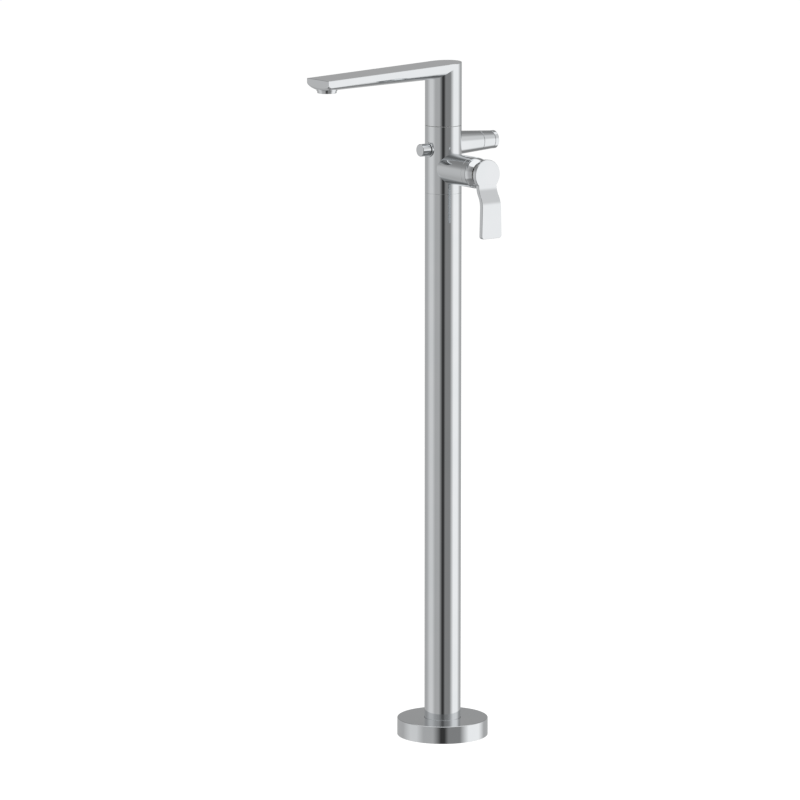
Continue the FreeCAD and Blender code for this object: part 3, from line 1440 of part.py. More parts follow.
os.makedirs("parts", exist_ok=True)
for name, shape in pieces().items():
    shape.exportStep(os.path.join("parts", name + ".step"))
    print(name, len(shape.Solids), "solid(s)", round(shape.Volume, 1), "mm3", shape.isValid())
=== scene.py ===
import json
import logging
import math
from contextlib import contextmanager
from dataclasses import dataclass
from enum import Enum
from typing import Callable, Iterator, Optional, Sequence, Union

import bmesh
import bpy
from mathutils import Matrix, Vector


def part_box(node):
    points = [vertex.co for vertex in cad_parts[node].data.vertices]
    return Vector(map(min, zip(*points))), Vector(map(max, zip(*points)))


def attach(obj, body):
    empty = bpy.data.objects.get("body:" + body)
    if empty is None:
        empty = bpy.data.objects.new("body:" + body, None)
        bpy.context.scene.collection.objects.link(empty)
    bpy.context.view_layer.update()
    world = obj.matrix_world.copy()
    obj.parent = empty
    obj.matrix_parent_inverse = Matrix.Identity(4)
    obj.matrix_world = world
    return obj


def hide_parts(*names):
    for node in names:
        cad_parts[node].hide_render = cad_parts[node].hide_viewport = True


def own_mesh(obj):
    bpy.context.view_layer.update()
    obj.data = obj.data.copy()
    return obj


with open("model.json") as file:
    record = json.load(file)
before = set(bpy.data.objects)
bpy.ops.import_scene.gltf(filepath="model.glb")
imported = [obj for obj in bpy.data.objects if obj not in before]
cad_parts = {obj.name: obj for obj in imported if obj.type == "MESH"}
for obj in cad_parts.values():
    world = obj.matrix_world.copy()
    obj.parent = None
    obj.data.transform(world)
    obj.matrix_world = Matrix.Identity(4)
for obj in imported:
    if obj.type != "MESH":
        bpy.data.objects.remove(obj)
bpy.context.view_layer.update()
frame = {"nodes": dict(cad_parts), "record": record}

log = logging.getLogger("bath_filler")

MM = 0.001
SMOOTH_ANGLE = math.radians(24)
ROUND_STEPS = 5                 # straight pieces in a rounded corner of a turned outline
WALL_STEPS = 192                # straight pieces round a turned shape as wide as the column

Corner = tuple[float, float, float]


# ---------------------------------------------------------------- operator bench
class Ends(Enum):
    """How a turned shape closes."""

    LOOP = "the last ring is bridged to the first"
    CAPS = "both end rings are filled"


class Cut(Enum):
    """What one solid does to another."""

    JOIN = "UNION"
    REMOVE = "DIFFERENCE"
    KEEP_SHARED = "INTERSECT"


@dataclass(frozen=True)
class Axis:
    """A turning axis in the row frame, in metres.

    Args:
        origin: A point on the axis, where distances along it are zero.
        direction: The way along it.
        side: The direction that the first point of each ring lies in.
    """

    origin: tuple[float, float, float]
    direction: tuple[float, float, float]
    side: tuple[float, float, float]

    def matrix(self) -> Matrix:
        """Returns the matrix that brings a shape turned about +Z onto this axis."""
        along = Vector(self.direction)
        side = Vector(self.side)
        across = along.cross(side)
        turn = Matrix((side, across, along)).transposed().to_4x4()
        return Matrix.Translation(Vector(self.origin)) @ turn


def deselect_all() -> None:
    """Clears the selection, which the frame leaves full of solids."""
    bpy.ops.object.select_all(action="DESELECT")


def activate(obj: bpy.types.Object) -> None:
    """Makes one object the only selected and the active one."""
    deselect_all()
    obj.select_set(True)
    bpy.context.view_layer.objects.active = obj


@contextmanager
def editing(obj: bpy.types.Object, everything: bool = True) -> Iterator[None]:
    """Edit mode for one object.

    Args:
        obj: The object to edit.
        everything: Whether its whole mesh starts selected.

    Returns:
        A context that leaves edit mode at its end.
    """
    activate(obj)
    bpy.ops.object.mode_set(mode="EDIT")
    bpy.ops.mesh.select_all(action="SELECT" if everything else "DESELECT")
    try:
        yield
    finally:
        bpy.ops.object.mode_set(mode="OBJECT")


def select_edges(obj: bpy.types.Object, wanted: Callable[[Vector, Vector], bool]) -> int:
    """Selects the edges, in edit mode, whose two ends satisfy a test.

    Args:
        obj: The object being edited.
        wanted: Takes an edge's two end points and says whether it is wanted.

    Returns:
        How many edges were selected.
    """
    bpy.ops.mesh.select_mode(type="EDGE")
    mesh = bmesh.from_edit_mesh(obj.data)
    count = 0
    for edge in mesh.edges:
        chosen = wanted(edge.verts[0].co, edge.verts[1].co)
        edge.select_set(chosen)
        count += chosen
    bmesh.update_edit_mesh(obj.data)
    return count


def place_in_mesh(obj: bpy.types.Object) -> None:
    """Moves an object's place, turn and scale into its mesh."""
    activate(obj)
    bpy.ops.object.transform_apply(location=True, rotation=True, scale=True)


def rounded(corners: Sequence[Corner], closed: bool = True) -> list[tuple[float, float]]:
    """Outline with its corners rounded.

    Args:
        corners: Points as (along, out, rounding radius), in metres.
        closed: Whether the last corner meets the first.

    Returns:
        The outline's points as (along, out).
    """
    points: list[tuple[float, float]] = []
    count = len(corners)
    for index, (along, out, radius) in enumerate(corners):
        here = Vector((along, out))
        is_end = not closed and index in (0, count - 1)
        if radius <= 0 or is_end:
            points.append((along, out))
            continue
        before = Vector(corners[index - 1][:2]) - here
        after = Vector(corners[(index + 1) % count][:2]) - here
        turn = before.angle(after)
        reach = radius / math.tan(turn / 2)
        start = here + before.normalized() * reach
        middle = here + (before.normalized() + after.normalized()).normalized() * (radius / math.sin(turn / 2))
        first = (start - middle).normalized()
        last = (here + after.normalized() * reach - middle).normalized()
        sweep = first.angle(last)
        for step in range(ROUND_STEPS + 1):
            share = step / ROUND_STEPS
            blend = (first * math.sin((1 - share) * sweep) + last * math.sin(share * sweep)) / math.sin(sweep)
            spot = middle + blend * radius
            points.append((spot.x, spot.y))
    return points


def ringed(outline: Sequence[tuple[float, float]], low: float, high: float,
           spacing: float) -> list[tuple[float, float]]:
    """Adds rings to an outline's long runs, so that shading stays even beside a cut or a join.

    Args:
        outline: Points as (along, out).
        low: Where the rings start along the axis.
        high: Where they end.
        spacing: Distance between them.

    Returns:
        The outline with its added points.
    """
    points = [outline[0]]
    for here, there in zip(outline, outline[1:]):
        length = there[0] - here[0]
        if length > spacing:
            for index in range(1 + math.floor((high - low) / spacing)):
                along = low + index * spacing
                if here[0] + MM < along < there[0] - MM:
                    share = (along - here[0]) / length
                    points.append((along, here[1] + (there[1] - here[1]) * share))
        points.append(there)
    return points


def turned(name: str, axis: Axis, outline: Sequence[tuple[float, float]], ends: Ends = Ends.LOOP,
           steps: int = WALL_STEPS) -> bpy.types.Object:
    """Turns an outline about an axis, ring by ring.

    Args:
        name: The new object's name.
        axis: The axis that it is turned about.
        outline: Points as (along, out), with no point on the axis itself.
        ends: How the shape closes.
        steps: Straight pieces round each ring.

    Returns:
        The finished object, at the origin.
    """
    along, out = outline[0]
    deselect_all()
    bpy.ops.mesh.primitive_circle_add(vertices=steps, radius=out, location=(0, 0, 0))
    obj = bpy.context.object
    obj.name = name
    with editing(obj):
        bpy.ops.transform.translate(value=(0, 0, along))
        for next_along, next_out in outline[1:]:
            bpy.ops.mesh.extrude_edges_move(TRANSFORM_OT_translate={"value": (0, 0, next_along - along)})
            if abs(next_out - out) > 1e-9:
                grow = next_out / out
                bpy.ops.transform.resize(value=(grow, grow, 1), center_override=(0, 0, next_along))
            along, out = next_along, next_out
        bpy.ops.mesh.select_all(action="DESELECT")
        bpy.ops.mesh.select_mode(type="EDGE")
        bpy.ops.mesh.select_non_manifold(extend=False)
        if ends is Ends.LOOP:
            bpy.ops.mesh.bridge_edge_loops()
        else:
            bpy.ops.mesh.fill_holes(sides=0)
        bpy.ops.mesh.select_all(action="SELECT")
        bpy.ops.mesh.normals_make_consistent(inside=False)
    obj.matrix_world = axis.matrix()
    place_in_mesh(obj)
    return obj


def drum(axis: Axis, low: float, high: float, radius: float, steps: int = WALL_STEPS) -> bpy.types.Object:
    """Plain round solid, made to be cut from another or joined to it.

    Args:
        axis: The axis that it lies on.
        low: Where it starts along the axis.
        high: Where it ends.
        radius: Its radius.
        steps: Straight pieces round it.

    Returns:
        The new object.
    """
    return turned("cutter", axis, [(low, radius), (high, radius)], Ends.CAPS, steps)


def prism(name: str, points: Sequence[Vector], sweep: Vector) -> bpy.types.Object:
    """Extrudes a flat outline.

    Args:
        name: The new object's name.
        points: The outline's corners in the row frame.
        sweep: How far and which way it is extruded.

    Returns:
        The new object, closed and with its faces outwards.
    """
    mesh = bpy.data.meshes.new(name)
    shape = bmesh.new()
    shape.faces.new([shape.verts.new(point) for point in points])
    shape.to_mesh(mesh)
    shape.free()
    obj = bpy.data.objects.new(name, mesh)
    bpy.context.scene.collection.objects.link(obj)
    with editing(obj):
        bpy.ops.mesh.extrude_region_move(TRANSFORM_OT_translate={"value": tuple(sweep)})
        bpy.ops.mesh.select_all(action="SELECT")
        bpy.ops.mesh.normals_make_consistent(inside=False)
    return obj


def box_solid(low: Sequence[float], high: Sequence[float]) -> bpy.types.Object:
    """Box between two corners, made to be cut from another solid."""
    centre = [(a + b) / 2 for a, b in zip(low, high)]
    size = [b - a for a, b in zip(low, high)]
    deselect_all()
    bpy.ops.mesh.primitive_cube_add(size=1, location=centre)
    obj = bpy.context.object
    obj.scale = size
    place_in_mesh(obj)
    return obj


def combine(target: bpy.types.Object, other: bpy.types.Object, cut: Cut) -> None:
    """Joins a solid to another or cuts one with the other, and removes the second.

    Args:
        target: The object that is kept.
        other: The object that is used up.
        cut: What happens.
    """
    activate(target)
    modifier = target.modifiers.new("combine", "BOOLEAN")
    modifier.operation = cut.value
    modifier.solver = "EXACT"
    modifier.object = other
    bpy.ops.object.modifier_apply(modifier=modifier.name)
    bpy.data.objects.remove(other, do_unlink=True)


def soften(obj: bpy.types.Object, width: float, angle: float = 40.0, segments: int = 5) -> None:
    """Rounds an object's sharp edges with a bevel.

    Args:
        obj: The object.
        width: The bevel's width in metres.
        angle: The least angle, in degrees, of an edge that counts as sharp.
        segments: Steps in the rounding.
    """
    activate(obj)
    modifier = obj.modifiers.new("edges", "BEVEL")
    modifier.width = width
    modifier.segments = segments
    modifier.limit_method = "ANGLE"
    modifier.angle_limit = math.radians(angle)
    modifier.use_clamp_overlap = False
    bpy.ops.object.modifier_apply(modifier=modifier.name)


def polish(obj: bpy.types.Object, angle: float = SMOOTH_ANGLE) -> None:
    """Smooth shading whose normals follow the large faces, so that flats reflect as flats."""
    activate(obj)
    bpy.ops.object.shade_smooth_by_angle(angle=angle)
    modifier = obj.modifiers.new("normals", "WEIGHTED_NORMAL")
    modifier.mode = "FACE_AREA"
    modifier.weight = 50
    modifier.keep_sharp = True
    bpy.ops.object.modifier_apply(modifier=modifier.name)


# ---------------------------------------------------------------- finishes
def linear(code: str) -> tuple[float, float, float, float]:
    """Turns an sRGB hex colour into Blender's linear colour."""
    parts = []
    for start in (0, 2, 4):
        value = int(code[start:start + 2], 16) / 255
        parts.append(value / 12.92 if value <= 0.04045 else ((value + 0.055) / 1.055) ** 2.4)
    return parts[0], parts[1], parts[2], 1.0


def add_node(tree: bpy.types.NodeTree, kind: str, settings: Optional[dict] = None,
             values: Optional[dict] = None, links: Optional[dict] = None) -> bpy.types.Node:
    """Adds a node with its settings and links.

    Args:
        tree: The node tree.
        kind: The node's type.
        settings: Its own properties by name.
        values: Input values by socket name or number.
        links: Output sockets by the input's name or number.

    Returns:
        The new node.
    """
    node = tree.nodes.new(kind)
    for key, value in (settings or {}).items():
        setattr(node, key, value)
    for key, value in (values or {}).items():
        node.inputs[key].default_value = value
    for key, source in (links or {}).items():
        tree.links.new(source, node.inputs[key])
    return node


def background_share(tree: bpy.types.NodeTree) -> bpy.types.NodeSocket:
    """Tells the rays that show the background from those that light the object.

    Args:
        tree: The floor's or the world's node tree.

    Returns:
        1 for rays from the camera, mirrored ones and those through glass, and 0 for the rest.
    """
    rays = add_node(tree, "ShaderNodeLightPath").outputs
    seen = rays["Is Camera Ray"]
    for kind in ("Is Glossy Ray", "Is Transmission Ray"):
        seen = add_node(
            tree, "ShaderNodeMix", settings={"data_type": "FLOAT"},
            links={0: seen, 2: rays[kind]}, values={3: 1.0}).outputs[0]
    return seen


@dataclass(frozen=True)
class Finish:
    """A surface as it was made: its colour, gloss and the grain that the hand would feel.

    Args:
        name: What a maker calls it.
        colour: sRGB hex of the surface.
        second_colour: sRGB hex that the first one drifts to.
        metal: 1 for bare or plated metal, 0 otherwise.
        rough_low: Roughness where it is smoothest.
        rough_high: Roughness where it is dullest.
        drift_mm: Size of the patches over which gloss and colour drift.
        grain_mm: Size of the surface's own grain.
        grain_height_mm: How far the grain stands up.
        ior: Index of refraction, left as it is on a metal.
    """

    name: str
    colour: str
    second_colour: str
    metal: float
    rough_low: float
    rough_high: float
    drift_mm: float
    grain_mm: float
    grain_height_mm: float
    ior: float = 1.5

    def build(self) -> bpy.types.Material:
        """Returns the material, built from nodes on Object coordinates."""
        material = bpy.data.materials.new(self.name)
        material.use_nodes = True
        tree = material.node_tree
        tree.nodes.clear()
        place = add_node(tree, "ShaderNodeTexCoord").outputs["Object"]
        drift = add_node(
            tree, "ShaderNodeTexNoise",
            values={"Scale": 1 / (self.drift_mm * MM), "Detail": 3.0, "Roughness": 0.5},
            links={"Vector": place},
        ).outputs["Fac"]
        grain = add_node(
            tree, "ShaderNodeTexNoise",
            values={"Scale": 1 / (self.grain_mm * MM), "Detail": 2.0, "Roughness": 0.6},
            links={"Vector": place},
        ).outputs["Fac"]
        rough = add_node(
            tree, "ShaderNodeMapRange",
            values={"From Min": 0.3, "From Max": 0.7, "To Min": self.rough_low, "To Max": self.rough_high},
            links={"Value": drift},
        ).outputs["Result"]
        ramp = add_node(tree, "ShaderNodeValToRGB", links={"Fac": drift})
        ramp.color_ramp.elements[0].position = 0.35
        ramp.color_ramp.elements[0].color = linear(self.colour)
        ramp.color_ramp.elements[1].position = 0.65
        ramp.color_ramp.elements[1].color = linear(self.second_colour)
        bump = add_node(
            tree, "ShaderNodeBump",
            values={"Strength": 1.0, "Distance": self.grain_height_mm * MM},
            links={"Height": grain},
        ).outputs["Normal"]
        values = {"Metallic": self.metal}
        if not self.metal:
            values["IOR"] = self.ior
        shader = add_node(
            tree, "ShaderNodeBsdfPrincipled", values=values,
            links={"Base Color": ramp.outputs["Color"], "Roughness": rough, "Normal": bump},
        )
        add_node(tree, "ShaderNodeOutputMaterial", links={"Surface": shader.outputs["BSDF"]})
        return material


class Slot(Enum):
    """The record's material slots, each with the finish that it shows."""

    # Nickel and chrome over polished brass: a cool mirror, with the faint wander that buffing leaves.
    CHROME = ("chrome", Finish(
        "polished_chrome_plate", "E8EAEC", "E5E8EA", 1.0, 0.02, 0.045, 45, 14, 0.002))
    # Free-cutting brass straight off the lathe: warm, satin, with darker tarnish in patches.
    BRASS = ("brass", Finish(
        "turned_brass", "D8B06A", "C79C55", 1.0, 0.22, 0.34, 9, 0.35, 0.004))
    # Zinc plated steel plate: bluish grey with a soft spangle.
    GALVANISED = ("galvanised_steel", Finish(
        "zinc_plated_steel", "B4B9BC", "A2A8AC", 1.0, 0.30, 0.46, 6, 0.6, 0.006))
    # Drawn stainless tube and screws: neutral grey, fine drawn satin.
    STAINLESS = ("stainless_steel", Finish(
        "drawn_stainless_steel", "C6C7C6", "B6B8B8", 1.0, 0.18, 0.28, 12, 0.3, 0.003))
    # Moulded nitrile: near black, greasy sheen broken up by mould release.
    RUBBER = ("black_rubber", Finish(
        "moulded_nitrile_rubber", "1B1B1D", "26262A", 0.0, 0.48, 0.62, 3, 0.25, 0.010, 1.52))
    # Unfilled acetal: milky white, low gloss, faint flow patches.
    NYLON = ("white_nylon", Finish(
        "white_acetal", "EDEAE0", "E4E1D5", 0.0, 0.36, 0.48, 7, 0.4, 0.006, 1.48))
    # Glass-filled cartridge plastic: mid grey, dull, with fibre mottle.
    CARTRIDGE = ("grey_plastic", Finish(
        "glass_filled_plastic", "7E8287", "6F7378", 0.0, 0.42, 0.56, 4, 0.3, 0.008, 1.55))
    # Moulded valve body: clear mid blue, glossy.
    VALVE = ("blue_plastic", Finish(
        "moulded_acetal_blue", "3E6EA8", "376399", 0.0, 0.20, 0.30, 6, 0.5, 0.003, 1.48))
    # Sintered and lapped alumina: warm white, silky.
    CERAMIC = ("ceramic", Finish(
        "lapped_alumina", "F1EEE6", "E9E6DC", 0.0, 0.12, 0.20, 5, 0.2, 0.001, 1.76))

    @property
    def slot(self) -> str:
        """The slot's name in the record."""
        return self.value[0]

    @property
    def finish(self) -> Finish:
        """The slot's finish."""
        return self.value[1]


class FinishStore:
    """Builds each finish once and dresses pieces and solids with it."""

    def __init__(self) -> None:
        """Starts with no material built."""
        self._built: dict[Slot, bpy.types.Material] = {}

    def material(self, slot: Slot) -> bpy.types.Material:
        """Returns the slot's material, built on first use."""
        if slot not in self._built:
            self._built[slot] = slot.finish.build()
        return self._built[slot]

    def dress(self, obj: bpy.types.Object, slot: Slot) -> None:
        """Gives an object one finish all over."""
        material = self.material(slot)
        if not obj.material_slots:
            obj.data.materials.append(material)
        for place in obj.material_slots:
            place.material = material

    def dress_solids(self) -> None:
        """Dresses every carried-over solid with the finish of its record slot."""
        by_name = {slot.slot: slot for slot in Slot}
        for row in frame["record"]["subparts"]:
            self.dress(frame["nodes"][row["node"]], by_name[row["material_slot"]])


# ---------------------------------------------------------------- sub-assemblies
@dataclass
class SubAssembly:
    """Pieces that take the place of solids.

    Args:
        finishes: Where materials come from.
    """

    finishes: FinishStore

    def hand_over(self, piece: bpy.types.Object, node: str, body: str, slot: Slot) -> bpy.types.Object:
        """Polishes a piece, dresses it and puts it in a solid's place.

        Args:
            piece: The finished mesh object.
            node: The solid that it stands for.
            body: The body that it rides on.
            slot: The record slot that gives its finish.

        Returns:
            The piece.
        """
        piece.name = node + "_skin"
        piece.data.name = piece.name
        polish(piece)
        self.finishes.dress(piece, slot)
        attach(piece, body)
        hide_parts(node)
        log.info("%s: %d faces, rides on %s", piece.name, len(piece.data.polygons), body)
        return piece


COLUMN_AXIS = Axis((0, 0, 0), (0, 0, 1), (1, 0, 0))


@dataclass
class FloorCover(SubAssembly):
    """The round cover on the floor and the tube that rises through it."""

    wall: float = 2.0 * MM
    bore: float = 25.3 * MM
    collar_wall: float = 6.0 * MM
    collar_depth: float = 6.0 * MM
    groove_low: float = 18.75 * MM
    groove_high: float = 22.05 * MM
    groove_bottom: float = 28.03 * MM
    top_round: float = 0.9 * MM
    small_round: float = 0.35 * MM
    tube_wall: float = 1.5 * MM
    tube_round: float = 0.2 * MM
    screw_hole: float = 2.0 * MM
    screw_height: float = 15.6 * MM
    screw_count: int = 3
    screw_first: float = 60.0

    def cover(self) -> bpy.types.Object:
        """Returns the chrome cover, hollow underneath, with its seal groove."""
        low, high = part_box("cover_flange")
        outer, top = high.x, high.z
        collar = self.bore + self.collar_wall
        corners = [
            (low.z, outer - self.wall, 0),
            (low.z, outer, self.small_round),
            (top, outer, self.top_round),
            (top, self.bore, self.small_round),
            (self.groove_high, self.bore, 0),
            (self.groove_high, self.groove_bottom, 0),
            (self.groove_low, self.groove_bottom, 0),
            (self.groove_low, self.bore, 0),
            (top - self.collar_depth, self.bore, 0),
            (top - self.collar_depth, collar, self.small_round),
            (top - self.wall, collar, 0),
            (top - self.wall, outer - self.wall, 0),
        ]
        piece = turned("cover", COLUMN_AXIS, rounded(corners), steps=2 * WALL_STEPS)
        return self.hand_over(piece, "cover_flange", "column", Slot.CHROME)

    def tube(self) -> bpy.types.Object:
        """Returns the column's tube, with the holes for its locking screws."""
        low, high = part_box("column_tube")
        inner = high.x - self.tube_wall
        corners = [
            (low.z, inner, 0),
            (low.z, high.x, self.tube_round),
            (high.z, high.x, self.tube_round),
            (high.z, inner, 0),
        ]
        piece = turned("tube", COLUMN_AXIS, rounded(corners), steps=2 * WALL_STEPS)
        for index in range(self.screw_count):
            turn = math.radians(self.screw_first + 360 * index / self.screw_count)
            out = (math.cos(turn), math.sin(turn), 0.0)
            axis = Axis((0, 0, self.screw_height), out, (0, 0, 1))
            combine(piece, drum(axis, inner - 2 * MM, high.x + 2 * MM, self.screw_hole, 32), Cut.REMOVE)
        return self.hand_over(piece, "column_tube", "column", Slot.CHROME)

    def build(self) -> None:
        """Builds both pieces."""
        self.cover()
        self.tube()


@dataclass
class MixerBody(SubAssembly):
    """The casting that carries the column's line on, with its side barrel and rear outlet."""

    trunk: float = 25.0 * MM
    spigot: float = 23.45 * MM
    spigot_foot: float = 733.0 * MM
    foot: float = 755.0 * MM
    seam: float = 847.0 * MM
    edge: float = 0.3 * MM
    seal_groove: tuple[float, float, float] = (736.65 * MM, 739.35 * MM, 20.97 * MM)
    barrel_height: float = 789.5 * MM
    barrel: float = 21.0 * MM
    barrel_end: float = 68.0 * MM
    chamber_floor: float = 34.0 * MM
    chamber: float = 17.65 * MM
    nut_thread: float = 19.0 * MM
    nut_shoulder: float = 58.0 * MM
    outlet_height: float = 821.0 * MM
    cone_root: float = 17.8 * MM
    cone_end: float = 13.753 * MM
    cone_length: float = 60.0 * MM
    outlet_thread: float = 10.5 * MM
    outlet_thread_foot: float = 38.0 * MM
    diverter_height: float = 815.0 * MM
    diverter_bore: float = 8.5 * MM
    diverter_back: float = 10.0 * MM
    spot_face: float = 10.4 * MM
    spot_face_depth: float = 22.825 * MM
    nipple_thread: float = 13.0 * MM
    nipple_foot: float = 833.0 * MM
    riser_spacing: float = 8.6 * MM
    riser_socket: float = 5.06 * MM
    riser_depth: float = 12.0 * MM
    join_spacing: float = 3.0 * MM
    trunk_join: tuple[float, float] = (762.0 * MM, 844.0 * MM)
    side_join: tuple[float, float] = (12.0 * MM, 39.0 * MM)

    @property
    def barrel_axis(self) -> Axis:
        """The valve barrel's axis."""
        return Axis((0, 0, self.barrel_height), (1, 0, 0), (0, 0, 1))

    @property
    def outlet_axis(self) -> Axis:
        """The shower outlet's axis."""
        return Axis((0, 0, self.outlet_height), (0, 1, 0), (0, 0, 1))

    @property
    def diverter_axis(self) -> Axis:
        """The diverter knob's axis."""
        return Axis((0, 0, self.diverter_height), (0, -1, 0), (0, 0, 1))

    def outside(self) -> bpy.types.Object:
        """Returns the trunk joined to the barrel and the outlet's cone."""
        low, high, deep = self.seal_groove
        trunk = [
            (self.spigot_foot, self.spigot - 2 * self.edge, 0),
            (self.spigot_foot, self.spigot, 2 * self.edge),
            (low, self.spigot, 0),
            (low, deep, 0),
            (high, deep, 0),
            (high, self.spigot, 0),
            (self.foot, self.spigot, 0),
            (self.foot, self.trunk, self.edge),
            (self.seam, self.trunk, self.edge),
            (self.seam, self.nipple_thread + MM, 0),
        ]
        trunk = ringed(rounded(trunk, closed=False), *self.trunk_join, self.join_spacing)
        piece = turned("body", COLUMN_AXIS, trunk, Ends.CAPS, 2 * WALL_STEPS)
        barrel = [
            (0, self.barrel, 0),
            (self.barrel_end, self.barrel, self.edge),
            (self.barrel_end, self.nut_thread + MM, 0),
        ]
        barrel = ringed(rounded(barrel, closed=False), *self.side_join, self.join_spacing)
        combine(piece, turned("barrel", self.barrel_axis, barrel, Ends.CAPS), Cut.JOIN)
        cone = [
            (0, self.cone_root, 0),
            (self.cone_length, self.cone_end, self.edge),
            (self.cone_length, self.outlet_thread + MM, 0),
        ]
        cone = ringed(rounded(cone, closed=False), *self.side_join, self.join_spacing)
        combine(piece, turned("cone", self.outlet_axis, cone, Ends.CAPS), Cut.JOIN)
        return piece

    def hollow(self, piece: bpy.types.Object) -> None:
        """Cuts the chamber, the threads and the sockets out of the body."""
        chamber = [
            (self.chamber_floor, self.chamber),
            (self.nut_shoulder, self.chamber),
            (self.nut_shoulder, self.nut_thread),
            (self.barrel_end + MM, self.nut_thread),
        ]
        combine(piece, turned("chamber", self.barrel_axis, chamber, Ends.CAPS), Cut.REMOVE)
        combine(piece, drum(COLUMN_AXIS, self.nipple_foot, self.seam + MM, self.nipple_thread), Cut.REMOVE)
        outlet = drum(self.outlet_axis, self.outlet_thread_foot, self.cone_length + MM, self.outlet_thread)
        combine(piece, outlet, Cut.REMOVE)
        knob = [
            (-self.diverter_back, self.diverter_bore),
            (self.spot_face_depth, self.diverter_bore),
            (self.spot_face_depth, self.spot_face),
            (self.trunk + MM, self.spot_face),
        ]
        combine(piece, turned("knob_seat", self.diverter_axis, knob, Ends.CAPS), Cut.REMOVE)
        for side in (-1, 1):
            axis = Axis((0, side * self.riser_spacing, 0), (0, 0, 1), (1, 0, 0))
            top = self.spigot_foot + self.riser_depth
            combine(piece, drum(axis, self.spigot_foot - MM, top, self.riser_socket, 48), Cut.REMOVE)

    def build(self) -> None:
        """Builds the body."""
        piece = self.outside()
        self.hollow(piece)
        self.hand_over(piece, "mixer_body", "column", Slot.CHROME)


@dataclass
class ShowerOutlet(SubAssembly):
    """The tapered sleeve behind the body and its end ring."""

    height: float = 821.0 * MM
    shank: float = 10.45 * MM
    shank_foot: float = 38.1 * MM
    joint: float = 60.3 * MM
    joint_radius: float = 13.733 * MM
    collar_seat: float = 79.7 * MM
    collar_seat_radius: float = 12.424 * MM
    collar_inner: float = 11.0 * MM
    end: float = 86.0 * MM
    thread: float = 9.32 * MM
    thread_foot: float = 76.0 * MM
    washer_seat: float = 73.9 * MM
    washer_room: float = 8.85 * MM
    valve_bore: float = 8.1 * MM
    valve_end: float = 56.2 * MM
    washer_bore: float = 6.0 * MM
    edge: float = 0.35 * MM
    collar_start: float = 80.0 * MM
    collar_radius: float = 12.4 * MM
    collar_edge: float = 0.7 * MM
    collar_gap: float = 0.03 * MM

    @property
    def axis(self) -> Axis:
        """The outlet's axis."""
        return Axis((0, 0, self.height), (0, 1, 0), (0, 0, 1))

    def sleeve(self) -> bpy.types.Object:
        """Returns the sleeve, with its shank, taper and hose thread."""
        corners = [
            (self.shank_foot, self.valve_bore, 0),
            (self.shank_foot, self.shank, self.edge),
            (self.joint, self.shank, 0),
            (self.joint, self.joint_radius, self.edge),
            (self.collar_seat, self.collar_seat_radius, self.edge),
            (self.collar_seat, self.collar_inner, 0),
            (self.end, self.collar_inner, self.edge),
            (self.end, self.thread, self.edge),
            (self.thread_foot, self.thread, 0),
            (self.thread_foot, self.washer_room, 0),
            (self.washer_seat, self.washer_room, 0),
            (self.washer_seat, self.washer_bore, 0),
            (self.valve_end, self.washer_bore, 0),
            (self.valve_end, self.valve_bore, 0),
        ]
        piece = turned("sleeve", self.axis, rounded(corners))
        return self.hand_over(piece, "outlet_sleeve", "column", Slot.CHROME)

    def collar(self) -> bpy.types.Object:
        """Returns the trim ring round the sleeve's end."""
        inner = self.collar_inner + self.collar_gap
        corners = [
            (self.collar_start, inner, 0),
            (self.collar_start, self.collar_radius, self.edge),
            (self.end, self.collar_radius, self.collar_edge),
            (self.end, inner, 0),
        ]
        piece = turned("collar", self.axis, rounded(corners))
        return self.hand_over(piece, "outlet_collar", "column", Slot.CHROME)

    def build(self) -> None:
        """Builds both pieces."""
        self.sleeve()
        self.collar()


